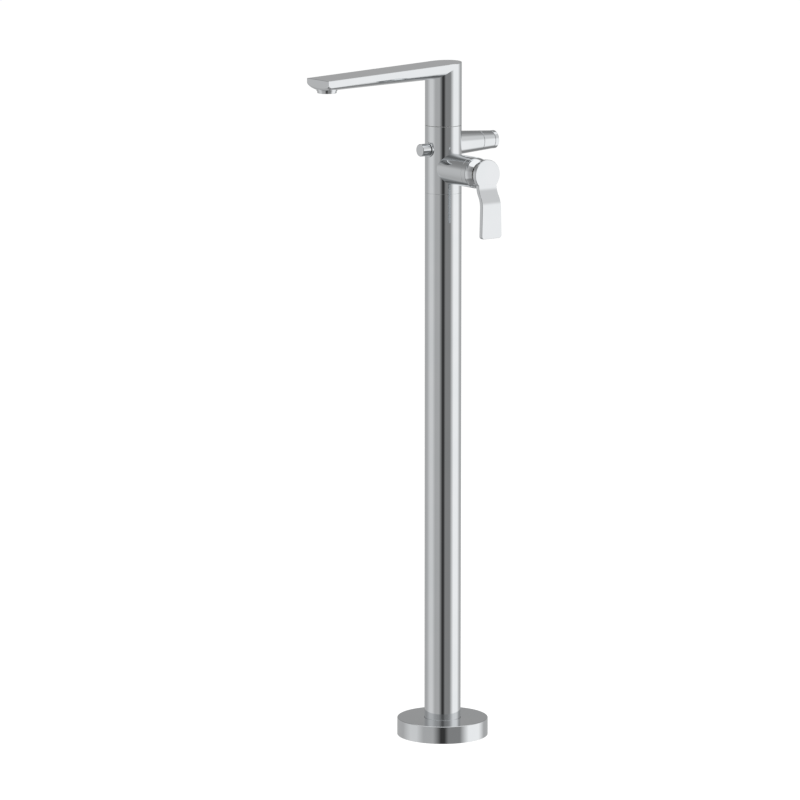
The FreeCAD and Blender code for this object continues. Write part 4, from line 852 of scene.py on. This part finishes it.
@dataclass
class ValveFront(SubAssembly):
    """The ball-shaped ring at the barrel's end and the paddle lever."""

    height: float = 789.5 * MM
    ring_start: float = 68.0 * MM
    ring_straight_end: float = 76.5 * MM
    ring_radius: float = 21.0 * MM
    ring_inner: float = 19.0 * MM
    ball_centre: float = 72.6 * MM
    ball_radius: float = 20.9 * MM
    ball_wall: float = 1.9 * MM
    cavity_end: float = 74.3 * MM
    opening: float = 50.0
    lip_angle: float = 1.5
    lip: float = 0.25 * MM
    ball_steps: int = 14
    head: float = 20.5 * MM
    head_in: float = 94.5 * MM
    thickness: float = 6.0 * MM
    length: float = 85.5 * MM
    root_half: float = 15.0 * MM
    tip_half: float = 16.8 * MM
    tip_corner: float = 4.0 * MM
    step_out: float = 9.5 * MM
    bend_start: float = 13.0 * MM
    bend_height: float = 31.0 * MM
    bend_steps: int = 20
    head_steps: int = 120
    corner_steps: int = 10
    edge: float = 0.8 * MM
    boss: float = 6.5 * MM
    boss_length: float = 13.0 * MM
    socket_half: float = 3.55 * MM
    socket_end: float = 93.1 * MM
    screw_hole: float = 1.9 * MM
    screw_out: float = 89.9 * MM

    @property
    def axis(self) -> Axis:
        """The barrel's axis."""
        return Axis((0, 0, self.height), (1, 0, 0), (0, 0, 1))

    def on_ball(self, radius: float, angle: float) -> tuple[float, float]:
        """Returns a point of the ball as (along, out), at an angle in degrees from the axis."""
        turn = math.radians(angle)
        return self.ball_centre + radius * math.cos(turn), radius * math.sin(turn)

    def ring(self) -> bpy.types.Object:
        """Returns the ring that narrows to a ball-shaped edge."""
        setback = self.ring_straight_end - self.ball_centre
        inside = self.ball_radius - self.ball_wall
        outer_angle = math.degrees(math.acos(setback / self.ball_radius))
        inner_angle = math.degrees(math.acos((self.cavity_end - self.ball_centre) / inside))
        lip = self.lip
        outline = [
            (self.ring_start, self.ring_inner),
            (self.ring_start, self.ring_radius - lip),
            (self.ring_start + lip, self.ring_radius),
            (self.ring_straight_end, self.ring_radius),
        ]
        for step in range(self.ball_steps + 1):
            angle = outer_angle + (self.opening - outer_angle) * step / self.ball_steps
            outline.append(self.on_ball(self.ball_radius, angle))
        outline.append(self.on_ball(self.ball_radius - lip, self.opening - self.lip_angle / 5))
        outline.append(self.on_ball(inside + lip, self.opening + self.lip_angle / 5))
        start = self.opening + self.lip_angle
        for step in range(self.ball_steps + 1):
            angle = start + (inner_angle - start) * step / self.ball_steps
            outline.append(self.on_ball(inside, angle))
        outline.append((self.cavity_end, self.ring_inner))
        piece = turned("ring", self.axis, outline)
        return self.hand_over(piece, "cartridge_dome", "column", Slot.CHROME)

    def bend(self, out: float) -> list[Vector]:
        """Side view of one face of the lever through its S-bend.

        Args:
            out: Distance of the face from the column's axis, above the bend.

        Returns:
            Points from the head's side of the bend to the blade's.
        """
        half_out, half_up = self.step_out / 2, self.bend_height / 2
        radius = (half_out ** 2 + half_up ** 2) / (2 * half_out)
        sweep = 2 * math.atan2(half_out, half_up)
        top = self.height - self.bend_start
        points = []
        for step in range(self.bend_steps + 1):
            turn = sweep * step / self.bend_steps
            points.append(Vector((out + radius * (1 - math.cos(turn)), 0, top - radius * math.sin(turn))))
        low = [Vector((2 * out + self.step_out - p.x, 0, 2 * top - self.bend_height - p.z)) for p in points]
        return points + low[-2::-1]

    def side_view(self) -> bpy.types.Object:
        """Returns the lever's side view, extruded past both of its edges."""
        over = 10 * MM
        top = self.height + self.head + over
        foot = self.height - self.length - over
        inner, outer = self.bend(self.head_in), self.bend(self.head_in + self.thickness)
        blade = self.head_in + self.step_out
        points = [Vector((self.head_in, 0, top))] + inner + [Vector((blade, 0, foot))]
        points += [Vector((blade + self.thickness, 0, foot))] + outer[::-1]
        points += [Vector((self.head_in + self.thickness, 0, top))]
        reach = 2 * self.head
        start = [point - Vector((0, reach, 0)) for point in points]
        return prism("side_view", start, Vector((0, 2 * reach, 0)))

    def front_view(self) -> bpy.types.Object:
        """Returns the lever's front view, extruded past both of its faces."""
        centre = self.height
        shoulder = math.asin(self.root_half / self.head)
        points = []
        for step in range(self.head_steps + 1):
            turn = shoulder + (2 * math.pi - 2 * shoulder) * step / self.head_steps
            points.append((self.head * math.sin(turn), centre - self.head * math.cos(turn)))
        foot = centre - self.length
        root = centre - self.head * math.cos(shoulder)
        lean = (self.tip_half - self.root_half) / (root - foot)
        edge = self.tip_half - self.tip_corner * lean
        for side in (-1, 1):
            for step in range(self.corner_steps + 1):
                share = step if side < 0 else self.corner_steps - step
                turn = math.radians(90) * share / self.corner_steps
                across = edge - self.tip_corner * (1 - math.cos(turn))
                points.append((side * across, foot + self.tip_corner * (1 - math.sin(turn))))
        start = [Vector((self.head_in - 10 * MM, y, z)) for y, z in points]
        return prism("front_view", start, Vector((self.step_out + self.thickness + 20 * MM, 0, 0)))

    def lever(self) -> bpy.types.Object:
        """Returns the lever, with its boss and the screw's hole."""
        piece = self.side_view()
        combine(piece, self.front_view(), Cut.KEEP_SHARED)
        soften(piece, self.edge)
        foot = self.head_in - self.boss_length
        boss = [(foot, self.socket_half + MM, 0), (foot, self.boss, 0.5 * MM), (self.head_in + MM, self.boss, 0)]
        combine(piece, turned("boss", self.axis, rounded(boss, closed=False), Ends.CAPS, 96), Cut.JOIN)
        half = self.socket_half
        low = (foot - MM, -half, self.height - half)
        combine(piece, box_solid(low, (self.socket_end, half, self.height + half)), Cut.REMOVE)
        screw = Axis((self.screw_out, 0, self.height), (0, 0, -1), (0, 1, 0))
        combine(piece, drum(screw, half / 2, 2 * self.boss, self.screw_hole, 32), Cut.REMOVE)
        return self.hand_over(piece, "lever", "lever_arm", Slot.CHROME)

    def build(self) -> None:
        """Builds both pieces."""
        self.ring()
        self.lever()


@dataclass
class Diverter(SubAssembly):
    """The small pull knob under the spout and the ring that it works in."""

    height: float = 815.0 * MM
    stem: float = 2.5 * MM
    knob: float = 8.5 * MM
    knob_edge: float = 1.2 * MM
    small_edge: float = 0.4 * MM
    stem_depth: float = 10.6 * MM
    bonnet: float = 10.2 * MM
    bonnet_seat: float = 22.825 * MM
    bonnet_face: float = 25.625 * MM
    shank: float = 8.45 * MM
    shank_end: float = 12.0 * MM
    bore: float = 2.56 * MM
    groove: tuple[float, float, float] = (17.462 * MM, 20.162 * MM, 5.03 * MM)
    stroke: float = 9.0 * MM

    @property
    def axis(self) -> Axis:
        """The knob's axis."""
        return Axis((0, 0, self.height), (0, -1, 0), (0, 0, 1))

    def pull_knob(self) -> bpy.types.Object:
        """Returns the knob, with the blind hole for its stem."""
        low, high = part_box("diverter_knob")
        foot, end = -high.y, -low.y
        corners = [
            (foot + self.stem_depth, self.stem, 0),
            (foot, self.stem, 0),
            (foot, self.knob, self.small_edge),
            (end, self.knob, self.knob_edge),
            (end, self.knob / 2, 0),
        ]
        piece = turned("knob", self.axis, rounded(corners, closed=False), Ends.CAPS)
        return self.hand_over(piece, "diverter_knob", "diverter", Slot.CHROME)

    def ring(self) -> bpy.types.Object:
        """Returns the bonnet that is screwed into the body."""
        low, high, deep = self.groove
        corners = [
            (self.shank_end, self.bore, 0),
            (self.shank_end, self.shank, self.small_edge),
            (self.bonnet_seat, self.shank, 0),
            (self.bonnet_seat, self.bonnet, 0),
            (self.bonnet_face, self.bonnet, self.small_edge),
            (self.bonnet_face, self.bore, 0),
            (high, self.bore, 0),
            (high, deep, 0),
            (low, deep, 0),
            (low, self.bore, 0),
        ]
        piece = turned("bonnet", self.axis, rounded(corners))
        return self.hand_over(piece, "diverter_bonnet", "column", Slot.CHROME)

    def spring(self) -> bpy.types.Object:
        """Returns the return spring, welded from the solid's mesh. The real spring shortens towards the bonnet as
        the knob is pulled; this piece stays as it is, on the column.
        """
        piece = bpy.data.objects.new("spring", frame["nodes"]["diverter_spring"].data.copy())
        bpy.context.scene.collection.objects.link(piece)
        with editing(piece):
            bpy.ops.mesh.remove_doubles(threshold=0.001 * MM)
        self.hand_over(piece, "diverter_spring", "column", Slot.STAINLESS)
        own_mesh(piece)
        return piece

    def build(self) -> None:
        """Builds the knob, its ring and the spring behind them."""
        self.pull_knob()
        self.ring()
        self.spring()


@dataclass
class Spout(SubAssembly):
    """The swivel spout: a round sleeve, a flat-topped arm with a round belly, and the aerator."""

    radius: float = 25.0 * MM
    foot: float = 847.4 * MM
    foot_edge: float = 0.25 * MM
    top: float = 932.0 * MM
    slope: float = 2.5
    reach: float = 208.0 * MM
    root_depth: float = 21.0 * MM
    tip_depth: float = 15.5 * MM
    root_side: float = 6.0 * MM
    tip_side: float = 8.0 * MM
    nose_length: float = 7.0 * MM
    nose_rise: float = 5.0 * MM
    nose_steps: int = 8
    belly_steps: int = 96
    edge: float = 0.6 * MM
    edge_steps: int = 5
    station_spacing: float = 8.0 * MM
    sleeve_join: tuple[float, float] = (896.0 * MM, 941.0 * MM)
    join_spacing: float = 3.0 * MM
    bore: float = 20.08 * MM
    bore_top: float = 925.0 * MM
    recess: float = 23.8 * MM
    recess_top: float = 849.6 * MM
    screw_height: float = 857.0 * MM
    screw_hole: float = 2.5 * MM
    aerator_out: float = 193.0 * MM
    boss: float = 14.0 * MM
    boss_drop: float = 0.5 * MM
    aerator_recess: float = 12.05 * MM
    aerator_depth: float = 8.6 * MM
    channel: float = 4.5 * MM
    channel_depth: float = 8.2 * MM
    lip_inner: float = 9.9 * MM
    insert_bore: float = 10.5 * MM
    insert_recess: float = 1.0 * MM
    lip_edge: float = 0.5 * MM
    lip_height: float = 2.9 * MM
    touch: float = 0.02 * MM

    @property
    def fall(self) -> float:
        """How far the top face drops for each metre out."""
        return math.tan(math.radians(self.slope))

    @property
    def aerator_axis(self) -> Axis:
        """The aerator's axis."""
        return Axis((0, -self.aerator_out, 0), (0, 0, 1), (1, 0, 0))

    def top_at(self, out: float) -> float:
        """Returns the top face's height at a distance from the column's axis."""
        return self.top - self.fall * out

    def depths(self, out: float) -> tuple[float, float]:
        """Returns the belly's depth and the flanks' height at a distance from the column's axis."""
        share = out / self.reach
        depth = self.root_depth + (self.tip_depth - self.root_depth) * share
        side = self.root_side + (self.tip_side - self.root_side) * share
        return depth, side

    def section(self, out: float, rise: float) -> list[Vector]:
        """Ring of points round the arm.

        Args:
            out: Distance from the column's axis.
            rise: How far the nose has lifted the belly there.

        Returns:
            Points from one flank's top, round the belly, to the other's.
        """
        depth, side = self.depths(out)
        depth -= rise
        side -= rise * self.tip_side / self.tip_depth
        top = self.top_at(out)
        over = 10 * MM
        # A hair narrower than the sleeve, so that flank and sleeve cross instead of touching.
        half = self.radius - 0.005 * MM
        points = [Vector((-half, -out, top + over)), Vector((-half, -out, top - side))]
        for step in range(1, self.belly_steps):
            turn = math.pi * step / self.belly_steps
            low = (depth - side) * math.sin(turn)
            points.append(Vector((-half * math.cos(turn), -out, top - side - low)))
        points += [Vector((half, -out, top - side)), Vector((half, -out, top + over))]
        return points

    def arm(self) -> bpy.types.Object:
        """Returns the arm, drawn out from the column's axis and closed at its tip."""
        straight = self.reach - self.nose_length
        count = round(straight / self.station_spacing)
        stations = [(straight * index / count, 0.0) for index in range(count + 1)]
        for step in range(1, self.nose_steps + 1):
            turn = math.radians(90) * step / self.nose_steps
            out = straight + self.nose_length * math.sin(turn)
            stations.append((out, self.nose_rise * (1 - math.cos(turn))))
        deselect_all()
        count = len(self.section(0, 0))
        bpy.ops.mesh.primitive_circle_add(vertices=count, radius=self.radius, location=(0, 0, 0))
        piece = bpy.context.object
        with editing(piece):
            for index, (out, rise) in enumerate(stations):
                if index:
                    bpy.ops.mesh.extrude_edges_move(TRANSFORM_OT_translate={"value": (0, -MM, 0)})
                shape = bmesh.from_edit_mesh(piece.data)
                ring = [vert for vert in shape.verts if vert.select]
                for vert, spot in zip(self.in_order(ring), self.section(out, rise)):
                    vert.co = spot
                bmesh.update_edit_mesh(piece.data)
            bpy.ops.mesh.select_all(action="DESELECT")
            bpy.ops.mesh.select_mode(type="EDGE")
            bpy.ops.mesh.select_non_manifold(extend=False)
            bpy.ops.mesh.fill_holes(sides=0)
            bpy.ops.mesh.select_all(action="SELECT")
            bpy.ops.mesh.normals_make_consistent(inside=False)
        return piece

    @staticmethod
    def in_order(ring: list) -> list:
        """Returns a ring's vertices in the order that they follow each other."""
        ring = sorted(ring, key=lambda vert: vert.index)
        ordered = [ring[0]]
        members = set(ring)
        while len(ordered) < len(ring):
            last = ordered[-1]
            near = [e.other_vert(last) for e in last.link_edges if e.select]
            following = [v for v in near if v in members and v not in ordered]
            ordered.append(following[0])
        return ordered

    def cut_top(self, piece: bpy.types.Object) -> None:
        """Cuts the sloping top face and rounds its edge and the tip's."""
        tilt = math.radians(self.slope)
        with editing(piece):
            bpy.ops.mesh.bisect(
                plane_co=(0, 0, self.top),
                plane_no=(0, -math.sin(tilt), math.cos(tilt)),
                use_fill=True,
                clear_outer=True,
            )
        with editing(piece, everything=False):

            def on_top(point: Vector) -> bool:
                return abs(point.z - self.top - self.fall * point.y) < self.touch

            def on_tip(point: Vector) -> bool:
                return point.y < -self.reach + self.touch

            def wanted(a: Vector, b: Vector) -> bool:
                return (on_top(a) and on_top(b)) or (on_tip(a) and on_tip(b))

            count = select_edges(piece, wanted)
            log.info("spout: %d edges round the top and the tip", count)
            bpy.ops.mesh.bevel(offset=self.edge, segments=self.edge_steps, profile=0.5, clamp_overlap=False)

    def body(self) -> bpy.types.Object:
        """Returns the spout's casting."""
        over = 20 * MM
        sleeve = [
            (self.foot, self.bore, 0),
            (self.foot, self.radius, self.foot_edge),
            (self.top + over, self.radius, 0),
        ]
        sleeve = ringed(rounded(sleeve, closed=False), *self.sleeve_join, self.join_spacing)
        piece = turned("sleeve", COLUMN_AXIS, sleeve, Ends.CAPS, 2 * WALL_STEPS)
        combine(piece, self.arm(), Cut.JOIN)
        self.cut_top(piece)
        depth = self.depths(self.aerator_out)[0] + self.boss_drop
        face = self.top_at(self.aerator_out) - depth
        combine(piece, drum(self.aerator_axis, face, face + 0.5 * depth, self.boss), Cut.JOIN)
        cavity = [
            (self.foot - MM, self.recess),
            (self.recess_top, self.recess),
            (self.recess_top, self.bore),
            (self.bore_top, self.bore),
        ]
        combine(piece, turned("cavity", COLUMN_AXIS, cavity, Ends.CAPS), Cut.REMOVE)
        tilt = math.radians(self.slope)
        along = (0.0, -math.cos(tilt), -math.sin(tilt))
        way = Axis((0, 0, self.top - self.channel_depth), along, (1, 0, 0))
        combine(piece, drum(way, 0, self.aerator_out / math.cos(tilt), self.channel, 64), Cut.REMOVE)
        hole = drum(self.aerator_axis, face - MM, face + self.aerator_depth, self.aerator_recess)
        combine(piece, hole, Cut.REMOVE)
        screw = Axis((0, 0, self.screw_height), (0, 1, 0), (1, 0, 0))
        combine(piece, drum(screw, self.bore - MM, self.radius + MM, self.screw_hole, 48), Cut.REMOVE)
        return self.hand_over(piece, "spout_body", "spout", Slot.CHROME)

    def aerator(self) -> bpy.types.Object:
        """Returns the ring that holds the jet former."""
        low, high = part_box("aerator_housing")
        outer, shank = (high.x - low.x) / 2, self.aerator_recess - 0.05 * MM
        step = low.z + self.lip_height
        corners = [
            (low.z, self.lip_inner, 0.2 * MM),
            (low.z, outer, self.lip_edge),
            (step, outer, 0.15 * MM),
            (step, shank, 0),
            (high.z, shank, 0),
            (high.z, self.insert_bore, 0),
            (low.z + self.insert_recess, self.insert_bore, 0),
            (low.z + self.insert_recess, self.lip_inner, 0),
        ]
        piece = turned("aerator", self.aerator_axis, rounded(corners))
        return self.hand_over(piece, "aerator_housing", "spout", Slot.CHROME)

    def build(self) -> None:
        """Builds both pieces."""
        self.body()
        self.aerator()


# ---------------------------------------------------------------- studio
@dataclass(frozen=True)
class Viewpoint:
    """The photograph's camera.

    Args:
        azimuth: Degrees round the column; 0 looks along +Y.
        distance: Level distance to the column's axis, in metres.
        height: Height above the floor.
        pitch: Degrees that it looks down.
        focal_px: Focal length in pixels of an 800 pixel wide picture.
        picture_px: The picture's width.
        offset_px: How far right of the middle the column's axis stands.
        sensor_mm: Width of the sensor.
    """

    azimuth: float = 54.0
    distance: float = 7.5
    height: float = 1.8
    pitch: float = 10.07
    focal_px: float = 5570.0
    picture_px: float = 800.0
    offset_px: float = 43.6
    sensor_mm: float = 36.0

    @property
    def towards(self) -> Vector:
        """Level direction from the column to the camera."""
        turn = math.radians(self.azimuth)
        return Vector((math.sin(turn), -math.cos(turn), 0))

    @property
    def rightwards(self) -> Vector:
        """Level direction to the picture's right."""
        turn = math.radians(self.azimuth)
        return Vector((math.cos(turn), math.sin(turn), 0))

    def build(self) -> None:
        """Adds the camera."""
        data = bpy.data.cameras.new("photo_camera")
        data.sensor_width = self.sensor_mm
        data.lens = self.sensor_mm * self.focal_px / self.picture_px
        data.dof.use_dof = False
        data.clip_end = 200
        camera = bpy.data.objects.new("photo_camera", data)
        bpy.context.scene.collection.objects.link(camera)
        aside = self.offset_px / self.focal_px * self.distance
        camera.location = self.towards * self.distance - self.rightwards * aside + Vector((0, 0, self.height))
        camera.rotation_euler = (math.radians(90 - self.pitch), 0, math.radians(self.azimuth))
        bpy.context.scene.camera = camera


class Card(Enum):
    """How bright a card in the tent is."""

    BLACK = 0.04
    CHARCOAL = 0.15
    SLATE = 0.25
    GREY = 0.45
    PALE = 0.7
    WHITE = 1.0


@dataclass(frozen=True)
class CardRing:
    """Broad cards that stand round the object at one height.

    Args:
        starts: Elevation in degrees at which the ring begins to take over from the one below.
        ends: Elevation at which it has taken over.
        cards: Degrees round from the camera to the right, and the card that stands there.
    """

    starts: float
    ends: float
    cards: tuple[tuple[float, Card], ...]


# Under the object: grey, with a white card to its right.
LOW_CARDS = CardRing(-62, -57, (
    (-120, Card.GREY), (-60, Card.SLATE), (0, Card.CHARCOAL), (50, Card.SLATE), (75, Card.WHITE),
    (105, Card.WHITE), (130, Card.SLATE),
))
# Level with it: a black flag round the camera, grey flats beside it, pale and white cards at the sides.
SIDE_CARDS = CardRing(-40, -30, (
    (-120, Card.GREY), (-90, Card.PALE), (-70, Card.PALE), (-50, Card.GREY), (-25, Card.GREY),
    (-10, Card.CHARCOAL), (-5, Card.BLACK), (5, Card.BLACK), (15, Card.SLATE), (45, Card.SLATE),
    (70, Card.WHITE), (105, Card.WHITE), (130, Card.GREY),
))
# Above it: dimmer, so that level tops read darker than the sides.
UPPER_CARDS = CardRing(4, 22, (
    (-120, Card.SLATE), (-90, Card.GREY), (-65, Card.GREY), (-30, Card.SLATE), (0, Card.CHARCOAL),
    (30, Card.SLATE), (70, Card.PALE), (95, Card.PALE), (125, Card.SLATE),
))


@dataclass(frozen=True)
class Studio:
    """White sweep, soft lamps, and the tent of cards that the chrome reflects.

    Args:
        view: The camera, which the cards are placed round.
        tent_radius: How far off the cards stand, in metres.
        tent_centre: Height of the tent's middle.
        rings: The rings of cards, from the lowest up.
        below: Brightness straight down.
        zenith: Brightness overhead.
        zenith_blend: Elevations in degrees between which the overhead card takes over.
        floor_paint: How much light the floor gives back, which is what its shadow takes away.
        floor_glow: What the floor adds of its own, so that it reads white.
        floor_size: The floor's side, in metres.
        soft_light: Brightness of the surroundings that light the object.
    """

    view: Viewpoint
    tent_radius: float = 400.0
    tent_centre: float = 0.5
    rings: tuple[CardRing, ...] = (LOW_CARDS, SIDE_CARDS, UPPER_CARDS)
    below: float = 0.25
    zenith: float = 1.1
    zenith_blend: tuple[float, float] = (46, 54)
    floor_paint: float = 0.32
    floor_glow: float = 0.84
    floor_size: float = 60.0
    soft_light: float = 0.55

    def ring(self, tree: bpy.types.NodeTree, angle: bpy.types.NodeSocket,
             cards: Sequence[tuple[float, Card]]) -> bpy.types.NodeSocket:
        """Colour ramp that holds one ring of cards.

        Args:
            tree: The tent's node tree.
            angle: The angle round the tent, from 0 to 1.
            cards: The ring's cards.

        Returns:
            The ring's brightness.
        """
        node = add_node(tree, "ShaderNodeValToRGB", links={"Fac": angle})
        ramp = node.color_ramp
        while len(ramp.elements) < len(cards):
            ramp.elements.new(0.5)
        for element, (degrees, card) in zip(ramp.elements, cards):
            element.position = (degrees + 180) / 360
            element.color = (card.value,) * 3 + (1,)
        return node.outputs["Color"]

    def blend(self, tree: bpy.types.NodeTree, height: bpy.types.NodeSocket, low: float, high: float,
              under: Union[float, bpy.types.NodeSocket], over: Union[float, bpy.types.NodeSocket],
              ) -> bpy.types.NodeSocket:
        """Blends from one card to another as the direction rises.

        Args:
            tree: The tent's node tree.
            height: Sine of the direction's elevation.
            low: Elevation in degrees where the blend starts.
            high: Elevation where it ends.
            under: What is seen below it.
            over: What is seen above it.

        Returns:
            The blended brightness.
        """
        share = add_node(
            tree, "ShaderNodeMapRange",
            settings={"interpolation_type": "SMOOTHSTEP"},
            values={"From Min": math.sin(math.radians(low)), "From Max": math.sin(math.radians(high))},
            links={"Value": height},
        ).outputs["Result"]
        node = add_node(tree, "ShaderNodeMix", settings={"data_type": "FLOAT"}, links={0: share})
        for index, value in ((2, under), (3, over)):
            if isinstance(value, float):
                node.inputs[index].default_value = value
            else:
                tree.links.new(value, node.inputs[index])
        return node.outputs[0]

    def tent(self) -> None:
        """Adds the tent. Only reflections see it."""
        deselect_all()
        bpy.ops.mesh.primitive_uv_sphere_add(
            segments=48, ring_count=24, radius=self.tent_radius, location=(0, 0, self.tent_centre))
        obj = bpy.context.object
        obj.name = "studio_tent"
        material = bpy.data.materials.new("studio_cards")
        material.use_nodes = True
        tree = material.node_tree
        tree.nodes.clear()
        place = add_node(tree, "ShaderNodeTexCoord").outputs["Object"]
        way = add_node(
            tree, "ShaderNodeVectorMath", settings={"operation": "NORMALIZE"}, links={0: place}).outputs["Vector"]
        turn = math.radians(90 - self.view.azimuth)
        turned_way = add_node(
            tree, "ShaderNodeMapping", values={"Rotation": (0, 0, turn)}, links={"Vector": way}).outputs["Vector"]
        parts = add_node(tree, "ShaderNodeSeparateXYZ", links={"Vector": turned_way}).outputs
        round_angle = add_node(
            tree, "ShaderNodeMath", settings={"operation": "ARCTAN2"}, links={0: parts["Y"], 1: parts["X"]},
        ).outputs["Value"]
        angle = add_node(
            tree, "ShaderNodeMapRange", values={"From Min": -math.pi, "From Max": math.pi},
            links={"Value": round_angle},
        ).outputs["Result"]
        shown = self.below
        for ring in self.rings:
            cards = self.ring(tree, angle, ring.cards)
            shown = self.blend(tree, parts["Z"], ring.starts, ring.ends, shown, cards)
        shown = self.blend(tree, parts["Z"], *self.zenith_blend, shown, self.zenith)
        glow = add_node(tree, "ShaderNodeEmission", links={"Color": shown})
        add_node(tree, "ShaderNodeOutputMaterial", links={"Surface": glow.outputs["Emission"]})
        material.cycles.emission_sampling = "NONE"
        obj.data.materials.append(material)
        obj.visible_camera = False
        obj.visible_diffuse = False
        obj.visible_shadow = False

    def floor(self) -> None:
        """Adds the white floor, which keeps a soft shadow."""
        deselect_all()
        bpy.ops.mesh.primitive_plane_add(size=self.floor_size, location=(0, 0, 0))
        obj = bpy.context.object
        obj.name = "studio_floor"
        material = bpy.data.materials.new("white_floor")
        material.use_nodes = True
        tree = material.node_tree
        tree.nodes.clear()
        paint = add_node(tree, "ShaderNodeBsdfDiffuse", values={"Color": (self.floor_paint,) * 3 + (1,)})
        glow = add_node(tree, "ShaderNodeEmission", values={"Color": (self.floor_glow,) * 3 + (1,)})
        both = add_node(
            tree, "ShaderNodeAddShader", links={0: paint.outputs["BSDF"], 1: glow.outputs["Emission"]})
        plain = add_node(tree, "ShaderNodeBsdfDiffuse", values={"Color": (0.8, 0.8, 0.8, 1)})
        choice = add_node(
            tree, "ShaderNodeMixShader",
            links={0: background_share(tree), 1: plain.outputs["BSDF"], 2: both.outputs["Shader"]})
        add_node(tree, "ShaderNodeOutputMaterial", links={"Surface": choice.outputs["Shader"]})
        material.cycles.emission_sampling = "NONE"
        obj.data.materials.append(material)
        obj.visible_glossy = False

    def world(self) -> None:
        """Sets the plain surroundings: white where they are seen, and soft light elsewhere."""
        world = bpy.data.worlds.new("studio_world")
        world.use_nodes = True
        bpy.context.scene.world = world
        tree = world.node_tree
        tree.nodes.clear()
        white = add_node(tree, "ShaderNodeBackground", values={"Color": (1, 1, 1, 1), "Strength": 1.0})
        soft = add_node(tree, "ShaderNodeBackground", values={"Color": (1, 1, 1, 1), "Strength": self.soft_light})
        choice = add_node(
            tree, "ShaderNodeMixShader",
            links={0: background_share(tree), 1: soft.outputs["Background"], 2: white.outputs["Background"]})
        add_node(tree, "ShaderNodeOutputWorld", links={"Surface": choice.outputs["Shader"]})

    def lamp(self, name: str, place: Vector, size: float, watts: float) -> None:
        """Adds a square soft box that looks at the object and shows in no reflection.

        Args:
            name: The lamp's name.
            place: Where it stands.
            size: Its side, in metres.
            watts: Its power.
        """
        data = bpy.data.lights.new(name, "AREA")
        data.shape = "SQUARE"
        data.size = size
        data.energy = watts
        lamp = bpy.data.objects.new(name, data)
        bpy.context.scene.collection.objects.link(lamp)
        lamp.location = place
        lamp.rotation_euler = (Vector((0, 0, self.tent_centre)) - place).to_track_quat("-Z", "Y").to_euler()
        lamp.visible_glossy = False

    def build(self) -> None:
        """Adds everything and sets the plain view transform."""
        towards, right = self.view.towards, self.view.rightwards
        self.view.build()
        self.tent()
        self.floor()
        self.world()
        self.lamp("key_box", towards * 2.2 + right * 2.4 + Vector((0, 0, 3.0)), 2.4, 90)
        self.lamp("fill_box", towards * 1.8 - right * 2.6 + Vector((0, 0, 2.2)), 2.4, 45)
        bpy.context.scene.view_settings.view_transform = "Standard"


def main() -> None:
    """Builds the studio and every sub-assembly in order."""
    logging.basicConfig(level=logging.INFO, format="%(message)s")
    Studio(Viewpoint()).build()
    finishes = FinishStore()
    finishes.dress_solids()
    for part in (FloorCover, MixerBody, ShowerOutlet, ValveFront, Diverter, Spout):
        log.info("building %s", part.__name__)
        part(finishes).build()
    deselect_all()


if __name__ == "__main__":
    main()
